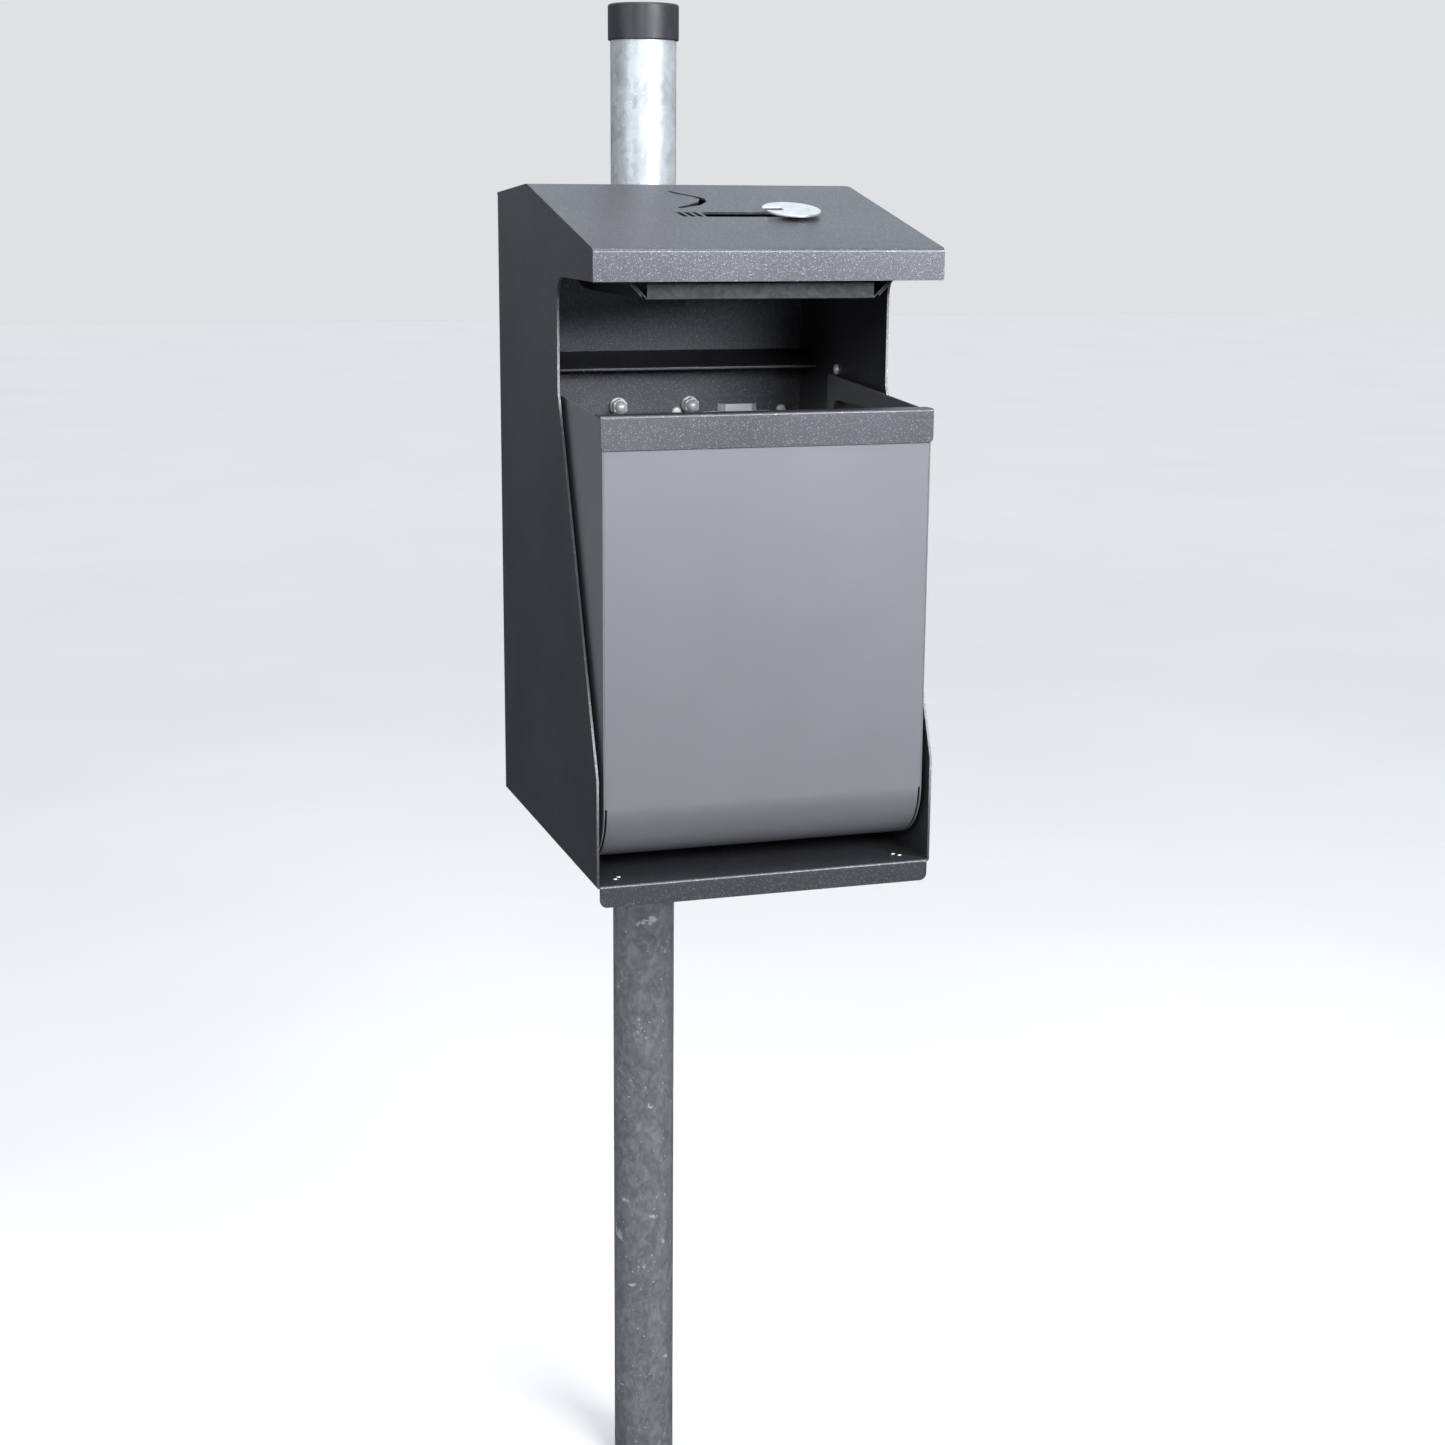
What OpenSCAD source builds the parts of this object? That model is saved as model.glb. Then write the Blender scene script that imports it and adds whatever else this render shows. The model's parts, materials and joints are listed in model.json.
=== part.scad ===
// Post-mounted litter bin: folded steel housing with an ash tray under its roof
// and a liner that tips forward on trunnions and lifts out.
// Frame: +Z up, front towards -Y, origin on the post axis at ground level.

/* [Post] */
// Outer diameter of the galvanised post
post_d = 60.3; // [48:0.1:76]
// Wall of the post tube
post_wall = 2; // [1.5:0.5:4]
// Height of the post above the ground
post_above = 1450; // [1400:10:1900]
// Length of post set in the ground
post_buried = 350; // [250:10:600]
// Height of the plastic post cap
cap_h = 32; // [20:1:50]
// Wall of the post cap
cap_wall = 3; // [2:0.5:5]
// Diameter of the rod through the buried foot
anchor_d = 12; // [8:1:16]
// Length of the rod through the buried foot
anchor_len = 160; // [100:5:240]

/* [Housing] */
// Outer width of the housing
body_w = 290; // [230:1:360]
// Outer depth of the housing at its floor
body_depth = 340; // [300:1:420]
// Height of the underside of the housing above the ground
body_z = 738; // [600:1:900]
// Height of the back of the housing
back_h = 548; // [500:1:680]
// Thickness of the housing sheet
sheet_t = 2; // [1.5:0.5:3]
// Distance from the back to the roof ridge
ridge_depth = 116; // [80:1:150]
// Rise of the roof from the back to the ridge
ridge_rise = 8; // [4:1:20]
// Drop of the roof from the ridge to its front edge
roof_drop = 48; // [30:1:70]
// Height of the folded lip at the roof front
lip_h = 25; // [15:1:40]
// How far the roof front stands behind the floor front
roof_setback = 3; // [0:1:10]
// Depth of the side panels beside the throw-in opening
throat_depth = 220; // [180:1:240]
// Height of the upper bend of the side panels above the underside
bend_high = 390; // [360:1:420]
// Height of the lower bend of the side panels above the underside
bend_low = 90; // [60:1:120]
// Inner corner radius under the hood
throat_r = 18; // [8:1:30]
// Width of the inward flange at the foot of each side panel
side_flange = 22; // [15:1:35]
// Height of the down-turned lip of the floor
floor_lip_h = 18; // [12:1:30]
// Corner radius of the floor lip
floor_lip_r = 6; // [2:1:9]
// Depth of the sloping deflector shelf on the back panel
deflector_out = 48; // [20:1:50]
// Height of the deflector shelf at the back, above the underside
deflector_top = 407; // [400:1:430]

/* [Clamps] */
// Space between the post and the back panel
standoff = 4; // [2:1:12]
// Diameter of the U-bolt rod
rod_d = 8; // [6:1:10]
// Height of the upper U-bolt above the underside
clamp_high = 356; // [300:1:380]
// Height of the lower U-bolt above the underside
clamp_low = 122; // [80:1:200]

/* [Roof fittings] */
// Length of the cigarette slot
slot_len = 68; // [50:1:80]
// Width of the cigarette slot, along the slope
slot_w = 17; // [8:1:20]
// Distance of the slot from the ridge, along the slope
slot_run = 111; // [100:1:125]
// Diameter of the stub-out disc
disc_d = 49; // [35:1:60]
// Space between the disc and the roof
disc_lift = 3; // [2:0.5:6]

/* [Ash tray] */
// Width of the tray floor
tray_w = 190; // [150:1:200]
// Depth of the tray, front to back
tray_depth = 180; // [150:1:190]
// Height of the tray
tray_h = 13; // [10:0.5:14]
// Thickness of the tray sheet
tray_t = 1.2; // [1:0.1:2]
// Distance of the tray front behind the roof front
tray_setback = 25; // [15:1:35]

/* [Liner] */
// Clearance between the liner and each side panel
liner_clear = 5; // [5:0.5:8]
// Thickness of the liner sheet
liner_t = 1.2; // [0.8:0.1:2]
// Depth of the liner, front to back
liner_depth = 242; // [200:1:250]
// Outer radius of the rolled bottom
roll_r = 50; // [40:1:58]
// Height of the rolled bottom above the floor panel
liner_lift = 12.5; // [8:0.5:18]
// Height of the liner front above the housing underside
liner_h = 379.5; // [340:0.5:390]
// Rise of the cheek tops towards the back
cheek_rise = 11; // [0:1:15]
// Drop of the liner back below its front
back_drop = 84; // [60:1:120]
// Angle through which the liner tips from closed to upright
tip_angle = 17; // [12:1:17]
// Length of each hand hole
hole_len = 100; // [80:1:110]
// Height of each hand hole
hole_h = 30; // [24:1:36]
// Height of the trim band
trim_h = 27.5; // [20:0.5:40]
// Thickness of the trim band
trim_t = 1.5; // [1:0.1:2]
// Depth of the trim over the liner edge
trim_depth = 16; // [10:1:25]
// Diameter of the trunnion pins
pin_d = 12; // [8:1:14]
// Outer diameter of the trunnion bushes
bush_d = 18; // [16:1:22]

/* [Hidden] */
$fn = 96;

big = 1000;
running_gap = 0.05;
seat_gap = 0.3;

// Post
post_r = post_d / 2;
cap_skirt = 2.2;
cap_r = post_r + cap_skirt;
cap_edge_r = 2.5;
anchor_up = 70;
anchor_z = -post_buried + anchor_up;
anchor_gap = 0.1;

// Housing
back_y = -(post_r + standoff);
body_top_z = body_z + back_h;
ridge_y = back_y - ridge_depth;
ridge_z = body_top_z + ridge_rise;
roof_depth = body_depth - roof_setback;
roof_front_y = back_y - roof_depth;
roof_front_z = ridge_z - roof_drop;
lip_z = roof_front_z - lip_h;
roof_fall = roof_drop / (roof_depth - ridge_depth);
roof_angle = atan(roof_fall);
roof_skin = sheet_t * cos(roof_angle);
inner_x = body_w / 2 - sheet_t;
inner_back_y = back_y - sheet_t;
floor_z = body_z + sheet_t;
seam = 0.4;
floor_lip_inset = 2.5;
floor_lip_out = 1;
floor_front_y = back_y - body_depth - floor_lip_out;
deflector_fall = 12;
deflector_lip = 3;
deflector_foot = 12;
deflector_inset = 1;

// Clamps: the rod bends round the back of the post and its legs pass the back panel
rod_r = rod_d / 2;
leg_x = post_r + seat_gap + rod_r;
leg_hole_r = rod_r + 0.5;
clamp_zs = [body_z + clamp_high, body_z + clamp_low];
washer_r = 8;
washer_h = 1.6;
nut_flats = 13;
nut_h = 7;
nut_dome_r = 6.2;
nut_dome_z = nut_h - 1;
nut_bore_h = 9;
leg_short = 0.5;
saddle_over = 10;
saddle_w = 2 * (leg_x + saddle_over);
saddle_h = 26;
saddle_reach = 12;

// Bracket and plugged holes beside the upper clamp
bracket_off = 46;
bracket_x = leg_x + bracket_off;
bracket_down = 12.5;
bracket_z = clamp_zs[0] - bracket_down;
bracket_w = 26;
bracket_h = 26;
bracket_rise = 6;
bracket_t = 1.5;
bracket_tab = 14;
bracket_tab_up = 6;
bracket_half = bracket_w / 2 + bracket_rise + bracket_tab;
bracket_screw_x = bracket_half - 8;
screw_r = 2;
screw_head_r = 4.5;
screw_head_h = 2.6;
plug_off = [-13, 90];
plug_xs = [leg_x + plug_off[0], leg_x + plug_off[1]];
plug_down = 6;
plug_z = clamp_zs[0] - plug_down;
plug_r = 2.5;
plug_head_r = 4.8;
plug_head_h = 3;

// Roof fittings
disc_x = 54;
disc_t = 2;
stud_r = 2.5;
spacer_r = 7;
stub_nut_flats = 8;
stub_nut_h = 4;
slot_x0 = -22;
notch_w = 11;
notch_stop = 8;
bar_first = 1;
bar_slant = 3;
bar_w = 4.2;
bar_pitch = 6.8;
bar_len = 16;

// Ash tray and rails
tray_front_y = roof_front_y + tray_setback;
tray_back_y = tray_front_y + tray_depth;
tray_drop = 2;
tray_z = lip_z - tray_h - tray_drop;
rail_t = 1.5;
rail_gap = 0.5;
rail_out = 10;
rail_x = tray_w / 2 + tray_h + rail_out;
rail_start = 4;
stop_w = 24;
stop_down = 8;
stop_h = 20;

// Liner: the rolled bottom is centred on the trunnions
liner_x = inner_x - liner_clear;
liner_inner_x = liner_x - liner_t;
liner_front_y = roof_front_y + trim_t;
liner_back_y = liner_front_y + liner_depth;
pivot_y = liner_front_y + roll_r;
pivot_z = floor_z + liner_lift + roll_r;
liner_top_z = body_z + liner_h;
roll_slit = 1.6;
hole_r = 12;
hole_back = 15;
hole_down = 22;
corner_cut = 4;
trim_side = 1.5;
trim_lip = 9;
trim_corner_r = 4;
pin_head_r = 9;
pin_head_h = 1.5;
pin_root = 0.1;
pin_short = 0.2;
bush_gap = 0.6;
bush_end_gap = 0.4;
bush_w = liner_clear - bush_gap - bush_end_gap;
cradle_gap = 1.2;
cradle_t = liner_clear - cradle_gap;
cradle_wall = 8;
cradle_up = 14;
rest_w = 120;
rest_d = 24;
rest_back = 150;
rest_y = pivot_y + rest_back;
button_r = 4.5;
button_h = 3.2;
button_in = 9;
button_y = liner_back_y - button_in;
button_up = 4;
button_z = liner_top_z + cheek_rise + button_up;

// Colours
c_housing = [0.25, 0.25, 0.27];
c_zinc = [0.68, 0.70, 0.71];
c_liner = [0.62, 0.63, 0.65];
c_bright = [0.80, 0.81, 0.82];
c_black = [0.09, 0.09, 0.10];

// A flat outline in the Y-Z plane, extruded along X from x0
module plate_yz(x0, t) {
    translate([x0, 0, 0]) rotate([90, 0, 90]) linear_extrude(t) children();
}

// The same plate on the left (side = -1) or the right (side = 1), between x_in and x_out
module side_plate(side, x_in, x_out) {
    plate_yz(side > 0 ? x_in : -x_out, x_out - x_in) children();
}

// A rod along X, on the left or the right, between x_in and x_out
module side_rod(side, x_in, x_out, r) {
    translate([side > 0 ? x_in : -x_out, pivot_y, pivot_z])
        rotate([0, 90, 0]) cylinder(r = r, h = x_out - x_in);
}

// Rectangle with rounded corners, from its lower left corner
module round_rect(w, h, r) {
    translate([r, 0]) square([w - 2 * r, h]);
    translate([0, r]) square([w, h - 2 * r]);
    for (x = [r, w - r], y = [r, h - r]) translate([x, y]) circle(r);
}

// Places children on the front slope of the roof: x across, -y down the slope, z out of it
module on_roof() {
    translate([0, ridge_y, ridge_z]) rotate([roof_angle, 0, 0]) children();
}

// ---- Post ----

module post() {
    color(c_zinc) difference() {
        translate([0, 0, -post_buried]) cylinder(r = post_r, h = post_above + post_buried);
        translate([0, 0, -post_buried - 1])
            cylinder(r = post_r - post_wall, h = post_above + post_buried + 2);
        translate([-big / 2, 0, anchor_z]) rotate([0, 90, 0]) cylinder(r = anchor_d / 2 + anchor_gap, h = big);
    }
}

module post_cap() {
    top = post_above + cap_wall;
    color(c_black) rotate_extrude() difference() {
        union() {
            translate([0, top - cap_h]) square([cap_r, cap_h - cap_edge_r]);
            translate([0, top - cap_edge_r]) square([cap_r - cap_edge_r, cap_edge_r]);
            translate([cap_r - cap_edge_r, top - cap_edge_r]) circle(cap_edge_r);
        }
        translate([-big, top - cap_h - 1]) square([big, cap_h + 2]);
        translate([-1, top - cap_h - 1]) square([post_r + running_gap + 1, cap_h + 1 - cap_wall]);
    }
}

module ground_rod() {
    color(c_zinc) translate([-anchor_len / 2, 0, anchor_z])
        rotate([0, 90, 0]) cylinder(r = anchor_d / 2, h = anchor_len);
}

// ---- Housing ----

// Outline of a side panel up to the underside of the roof
module side_outline() {
    front_y = back_y - body_depth;
    throat_y = back_y - throat_depth;
    hood_y = roof_front_y + sheet_t;
    polygon([
        [back_y, body_z],
        [back_y, body_top_z - sheet_t],
        [ridge_y, ridge_z - sheet_t],
        [hood_y, roof_front_z + roof_fall * sheet_t - sheet_t],
        [hood_y, lip_z],
        [throat_y, lip_z],
        [throat_y, body_z + bend_high],
        [front_y, body_z + bend_low],
        [front_y, body_z]
    ]);
    difference() {
        translate([throat_y - throat_r, lip_z - throat_r]) square(throat_r);
        translate([throat_y - throat_r, lip_z - throat_r]) circle(throat_r);
    }
}

module side_panel(side) {
    front_y = back_y - body_depth;
    color(c_housing) {
        side_plate(side, inner_x, body_w / 2) side_outline();
        translate([0, 0, body_z]) linear_extrude(sheet_t) polygon([
            [side * inner_x, inner_back_y],
            [side * inner_x, front_y],
            [side * (inner_x - side_flange), front_y + side_flange],
            [side * (inner_x - side_flange), inner_back_y]
        ]);
    }
}

module back_panel() {
    color(c_housing) difference() {
        plate_yz(-inner_x, 2 * inner_x) polygon([
            [back_y, body_z],
            [back_y, body_top_z - sheet_t],
            [inner_back_y, body_top_z - sheet_t + sheet_t * ridge_rise / ridge_depth],
            [inner_back_y, body_z]
        ]);
        for (x = [-leg_x, leg_x], z = clamp_zs)
            translate([x, back_y + 1, z]) rotate([90, 0, 0]) cylinder(r = leg_hole_r, h = sheet_t + 2);
        bracket_screw_places() translate([0, 1, 0]) rotate([90, 0, 0])
            cylinder(r = screw_r + running_gap, h = sheet_t + 2);
        for (x = plug_xs)
            translate([x, back_y + 1, plug_z]) rotate([90, 0, 0])
                cylinder(r = plug_r + running_gap, h = sheet_t + 2);
    }
}

module floor_panel() {
    front_y = back_y - body_depth;
    edge_x = inner_x - side_flange - seam;
    lip_x = body_w / 2 - floor_lip_inset;
    color(c_housing) {
        translate([0, 0, body_z]) linear_extrude(sheet_t) polygon([
            [-edge_x, inner_back_y], [edge_x, inner_back_y],
            [edge_x, front_y + side_flange],
            [lip_x, front_y + side_flange - (lip_x - edge_x)],
            [lip_x, floor_front_y],
            [-lip_x, floor_front_y],
            [-lip_x, front_y + side_flange - (lip_x - edge_x)],
            [-edge_x, front_y + side_flange]
        ]);
        translate([-lip_x, floor_front_y + sheet_t, floor_z - floor_lip_h]) rotate([90, 0, 0])
            linear_extrude(sheet_t) {
                round_rect(2 * lip_x, floor_lip_h - sheet_t, floor_lip_r);
                translate([0, floor_lip_r])
                    square([2 * lip_x, floor_lip_h - floor_lip_r]);
            }
    }
}

// Curl of smoke above the cigarette: two strokes that meet in a wider heel
module smoke_outline() {
    polygon([
        [-29, -28], [-22, -38], [-12, -47], [-9, -55], [-13, -66], [-24, -76], [-37, -86],
        [-36, -90], [-24, -83], [-14, -77], [-5, -64], [-4, -53], [-9, -45], [-18, -36], [-26, -26]
    ]);
}

// Everything cut through the roof, drawn on its slope
module roof_cuts() {
    translate([slot_x0, -slot_run - slot_w / 2]) square([slot_len, slot_w]);
    for (i = [1:3])
        translate([slot_x0 + bar_first - i * bar_pitch, -slot_run - bar_len / 2])
            polygon([[0, 0], [bar_w, 0], [bar_w - bar_slant, bar_len], [-bar_slant, bar_len]]);
    smoke_outline();
    translate([disc_x, -slot_run]) circle(stud_r + running_gap);
}

module roof_panel() {
    color(c_housing) difference() {
        plate_yz(-body_w / 2, body_w) polygon([
            [back_y, body_top_z],
            [ridge_y, ridge_z],
            [roof_front_y, roof_front_z],
            [roof_front_y, lip_z],
            [roof_front_y + sheet_t, lip_z],
            [roof_front_y + sheet_t, roof_front_z + roof_fall * sheet_t - sheet_t],
            [ridge_y, ridge_z - sheet_t],
            [back_y, body_top_z - sheet_t]
        ]);
        on_roof() translate([0, 0, -sheet_t - 1]) linear_extrude(sheet_t + 2) roof_cuts();
    }
}

// Shelf that slopes forward from the back panel, with a turned-down edge and a welded foot
module rear_deflector() {
    top = body_z + deflector_top;
    half = inner_x - deflector_inset;
    edge_y = inner_back_y - deflector_out;
    edge_z = top - deflector_fall;
    slope = deflector_fall / deflector_out;
    color(c_housing) plate_yz(-half, 2 * half) polygon([
        [inner_back_y, top],
        [edge_y, edge_z],
        [edge_y, edge_z - deflector_lip],
        [edge_y + sheet_t, edge_z - deflector_lip],
        [edge_y + sheet_t, edge_z + slope * sheet_t - sheet_t],
        [inner_back_y - sheet_t, top - slope * sheet_t - sheet_t],
        [inner_back_y - sheet_t, top - deflector_foot],
        [inner_back_y, top - deflector_foot]
    ]);
}

// ---- Clamps on the post ----

module u_bolt(z) {
    leg_end = inner_back_y - washer_h - nut_bore_h + leg_short;
    color(c_bright) translate([0, 0, z]) {
        rotate_extrude(angle = 180) translate([leg_x, 0]) circle(rod_r);
        for (x = [-leg_x, leg_x])
            translate([x, 0, 0]) rotate([90, 0, 0]) cylinder(r = rod_r, h = -leg_end);
    }
}

module saddle(z) {
    color(c_zinc) difference() {
        translate([-saddle_w / 2, back_y, z - saddle_h / 2]) cube([saddle_w, saddle_reach, saddle_h]);
        cylinder(r = post_r + seat_gap, h = 2 * big);
        for (x = [-leg_x, leg_x])
            translate([x, 0, z]) rotate([90, 0, 0]) cylinder(r = leg_hole_r, h = -back_y + 1);
    }
}

// Puts children on the inner face of the back panel at each U-bolt leg
module leg_places() {
    for (x = [-leg_x, leg_x], z = clamp_zs) translate([x, inner_back_y, z]) children();
}

module clamp_washers() {
    color(c_bright) leg_places() rotate([90, 0, 0]) difference() {
        cylinder(r = washer_r, h = washer_h);
        translate([0, 0, -1]) cylinder(r = leg_hole_r, h = washer_h + 2);
    }
}

module clamp_nuts() {
    color(c_bright) leg_places() translate([0, -washer_h, 0]) rotate([90, 0, 0]) difference() {
        union() {
            cylinder(d = nut_flats / cos(30), h = nut_h, $fn = 6);
            translate([0, 0, nut_dome_z]) sphere(nut_dome_r);
        }
        translate([0, 0, -big]) cube([big, big, 2 * big], center = true);
        translate([0, 0, -1]) cylinder(r = rod_r + running_gap, h = nut_bore_h + 1);
    }
}

// Puts children on the outer face of the back panel at each bracket screw
module bracket_screw_places() {
    for (x = [-bracket_screw_x, bracket_screw_x])
        translate([bracket_x + x, back_y, bracket_z]) children();
}

// Strap with a raised middle, fixed to the back panel by two screws
module back_bracket() {
    half = bracket_half;
    fold_x = bracket_w / 2 + bracket_rise;
    color(c_bright) difference() {
        translate([bracket_x, inner_back_y, bracket_z - bracket_h / 2]) linear_extrude(bracket_h) polygon([
            [-half, 0], [-half, -bracket_t],
            [-bracket_w / 2 - bracket_rise, -bracket_t], [-bracket_w / 2, -bracket_rise - bracket_t],
            [bracket_w / 2, -bracket_rise - bracket_t], [bracket_w / 2 + bracket_rise, -bracket_t],
            [half, -bracket_t], [half, 0],
            [bracket_w / 2 + bracket_rise - bracket_t / 2, 0], [bracket_w / 2 - bracket_t / 2, -bracket_rise],
            [-bracket_w / 2 + bracket_t / 2, -bracket_rise], [-bracket_w / 2 - bracket_rise + bracket_t / 2, 0]
        ]);
        bracket_screw_places() rotate([90, 0, 0]) cylinder(r = screw_r + running_gap, h = big);
        for (x = [bracket_x - fold_x - big, bracket_x + fold_x])
            translate([x, inner_back_y - big / 2, bracket_z + bracket_tab_up]) cube(big);
    }
}

// Low domed head on a plain shank, standing on its z axis
module domed_pin(shank_r, shank_l, head_r, head_h) {
    dome_r = (head_r * head_r + head_h * head_h) / (2 * head_h);
    cylinder(r = shank_r, h = shank_l);
    translate([0, 0, shank_l]) intersection() {
        translate([0, 0, head_h - dome_r]) sphere(dome_r);
        cylinder(r = head_r, h = head_h);
    }
}

module bracket_screws() {
    color(c_bright) bracket_screw_places() rotate([90, 0, 0])
        domed_pin(screw_r, sheet_t + bracket_t, screw_head_r, screw_head_h);
}

// Plugs in the spare wall-fixing holes
module hole_plugs() {
    color(c_bright) for (x = plug_xs)
        translate([x, back_y, plug_z]) rotate([90, 0, 0])
            domed_pin(plug_r, sheet_t, plug_head_r, plug_head_h);
}

// ---- Roof fittings ----

module stub_disc() {
    color(c_bright) on_roof() translate([disc_x, -slot_run, 0]) {
        translate([0, 0, disc_lift]) difference() {
            cylinder(d = disc_d, h = disc_t);
            translate([-disc_d, -notch_w / 2, -1]) cube([disc_d - notch_stop, notch_w, disc_t + 2]);
        }
        translate([0, 0, -roof_skin - stub_nut_h]) cylinder(r = stud_r, h = disc_lift + roof_skin + stub_nut_h);
    }
}

module stub_spacer() {
    color(c_bright) on_roof() translate([disc_x, -slot_run, 0]) difference() {
        cylinder(r = spacer_r, h = disc_lift);
        translate([0, 0, -1]) cylinder(r = stud_r + running_gap, h = disc_lift + 2);
    }
}

module stub_nut() {
    color(c_bright) on_roof() translate([disc_x, -slot_run, -roof_skin - stub_nut_h]) difference() {
        cylinder(d = stub_nut_flats / cos(30), h = stub_nut_h, $fn = 6);
        translate([0, 0, -1]) cylinder(r = stud_r + running_gap, h = stub_nut_h + 2);
    }
}

// ---- Ash tray ----

// Half-section of a tray wall that leans out at 45 degrees
module tray_section(w, h) {
    polygon([[-w / 2, 0], [w / 2, 0], [w / 2 + h, h], [-w / 2 - h, h]]);
}

// Tray with leaning sides; its front wall stands only as wide as its floor
module ash_tray() {
    lean = tray_t * (sqrt(2) - 1);
    color(c_zinc) translate([0, tray_back_y, tray_z]) rotate([90, 0, 0]) difference() {
        linear_extrude(tray_depth) tray_section(tray_w, tray_h);
        translate([0, tray_t, tray_t]) linear_extrude(tray_depth - 2 * tray_t)
            tray_section(tray_w - 2 * lean, tray_h);
        translate([0, tray_t, tray_depth - 2 * tray_t]) linear_extrude(big) difference() {
            tray_section(tray_w - 2 * lean, tray_h);
            translate([-tray_w / 2, -tray_t]) square([tray_w, tray_h + 2 * tray_t]);
        }
    }
}

// Hanger under the roof: upright web, foot leaning under the tray side, stop at the back
module tray_rail(side) {
    foot_z = tray_z - rail_gap;
    web_foot = rail_x - tray_w / 2;
    lean = rail_t * sqrt(2);
    color(c_zinc) intersection() {
        union() {
            translate([0, tray_back_y + seat_gap + rail_t, 0]) rotate([90, 0, 0])
                linear_extrude(tray_depth + seat_gap + rail_t) polygon([
                    [side * (tray_w / 2 + rail_start), foot_z + rail_start],
                    [side * rail_x, foot_z + web_foot],
                    [side * rail_x, ridge_z],
                    [side * (rail_x + rail_t), ridge_z],
                    [side * (rail_x + rail_t), foot_z + web_foot + rail_t - lean],
                    [side * (tray_w / 2 + rail_start), foot_z + rail_start - lean]
                ]);
            translate([side > 0 ? rail_x - stop_w : -rail_x, tray_back_y + seat_gap, foot_z + web_foot - stop_down])
                cube([stop_w, rail_t, stop_h]);
        }
        plate_yz(-big / 2, big) polygon([
            [ridge_y, body_z],
            [ridge_y, ridge_z - sheet_t],
            [roof_front_y, roof_front_z - sheet_t],
            [roof_front_y, body_z]
        ]);
    }
}

// ---- Liner supports ----

module cradle(side) {
    seat_r = bush_d / 2 + seat_gap;
    color(c_bright) side_plate(side, inner_x - cradle_t, inner_x) difference() {
        translate([pivot_y - seat_r - cradle_wall, pivot_z - seat_r - cradle_wall])
            square([2 * (seat_r + cradle_wall), seat_r + cradle_wall + cradle_up]);
        translate([pivot_y, pivot_z]) circle(seat_r);
        translate([pivot_y - seat_r, pivot_z]) square([2 * seat_r, big]);
    }
}

module guide_buttons() {
    color(c_bright) for (side = [-1, 1])
        translate([side * inner_x, button_y, button_z]) rotate([0, -90 * side, 0]) intersection() {
            cylinder(r = button_r, h = button_h);
            translate([0, 0, button_h - 2 * button_r]) sphere(2 * button_r);
        }
}

// Folded strip on the floor that carries the bottom of the closed liner
module liner_rest() {
    rest_h = liner_lift - seat_gap;
    color(c_housing) plate_yz(-rest_w / 2, rest_w) difference() {
        translate([rest_y - rest_d / 2, floor_z]) square([rest_d, rest_h]);
        translate([rest_y - rest_d / 2 + sheet_t, floor_z - 1]) square([rest_d - 2 * sheet_t, rest_h + 1 - sheet_t]);
    }
}

// ---- Liner ----

module liner_bush(side) {
    x_in = liner_x + bush_gap;
    color(c_black) difference() {
        side_rod(side, x_in, x_in + bush_w, bush_d / 2);
        side_rod(side, x_in - 1, x_in + bush_w + 1, pin_d / 2 + running_gap);
    }
}

// Point at distance r from the trunnions, turned down by angle from straight forward
function roll_point(r, angle) = [pivot_y - r * cos(angle), pivot_z - r * sin(angle)];

// Liner outline in the Y-Z plane, drawn inwards by inset; over raises its top and lengthens its back
module liner_outline(inset, over) {
    r = roll_r - inset;
    turn = 90 + tip_angle;
    corner = [pivot_y - r, pivot_z - r * tan(turn / 2)];
    back = liner_back_y + over;
    difference() {
        polygon([
            corner,
            [pivot_y - r, liner_top_z + over],
            [liner_front_y + trim_depth, liner_top_z + over],
            [liner_back_y - corner_cut, liner_top_z + cheek_rise + over],
            [liner_back_y, liner_top_z + cheek_rise - corner_cut + over],
            [back, liner_top_z + over],
            [back, corner[1] + (back - corner[0]) * tan(tip_angle)]
        ]);
        difference() {
            polygon([
                [pivot_y, pivot_z],
                roll_point(2 * r, 0),
                roll_point(4 * r, turn / 2),
                roll_point(2 * r, turn)
            ]);
            translate([pivot_y, pivot_z]) circle(r);
        }
    }
}

module liner_cheek(side) {
    hole_top = liner_top_z + cheek_rise - hole_down;
    color(c_liner) side_plate(side, liner_inner_x, liner_x) difference() {
        liner_outline(0, 0);
        translate([liner_back_y - hole_back - hole_len, hole_top - hole_h]) round_rect(hole_len, hole_h, hole_r);
        translate([pivot_y, pivot_z]) circle(pin_d / 2);
    }
}

// Front sheet that rolls under at the trunnions and runs back as the bottom
module liner_wrap() {
    color(c_liner) difference() {
        plate_yz(-liner_inner_x, 2 * liner_inner_x) difference() {
            intersection() {
                liner_outline(0, 0);
                translate([-big, -big]) square([2 * big, big + liner_top_z]);
            }
            liner_outline(liner_t, 50);
        }
        for (side = [-1, 1])
            side_plate(side, liner_inner_x - roll_slit, liner_x)
                translate([liner_front_y - 1, pivot_z - roll_r - 1]) square([roll_r + 1, roll_r + 1]);
    }
}

module liner_back() {
    color(c_liner) plate_yz(-liner_inner_x, 2 * liner_inner_x) intersection() {
        liner_outline(liner_t, 0);
        translate([liner_back_y - liner_t, body_z]) square([liner_t, liner_top_z - back_drop - body_z]);
    }
}

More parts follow.
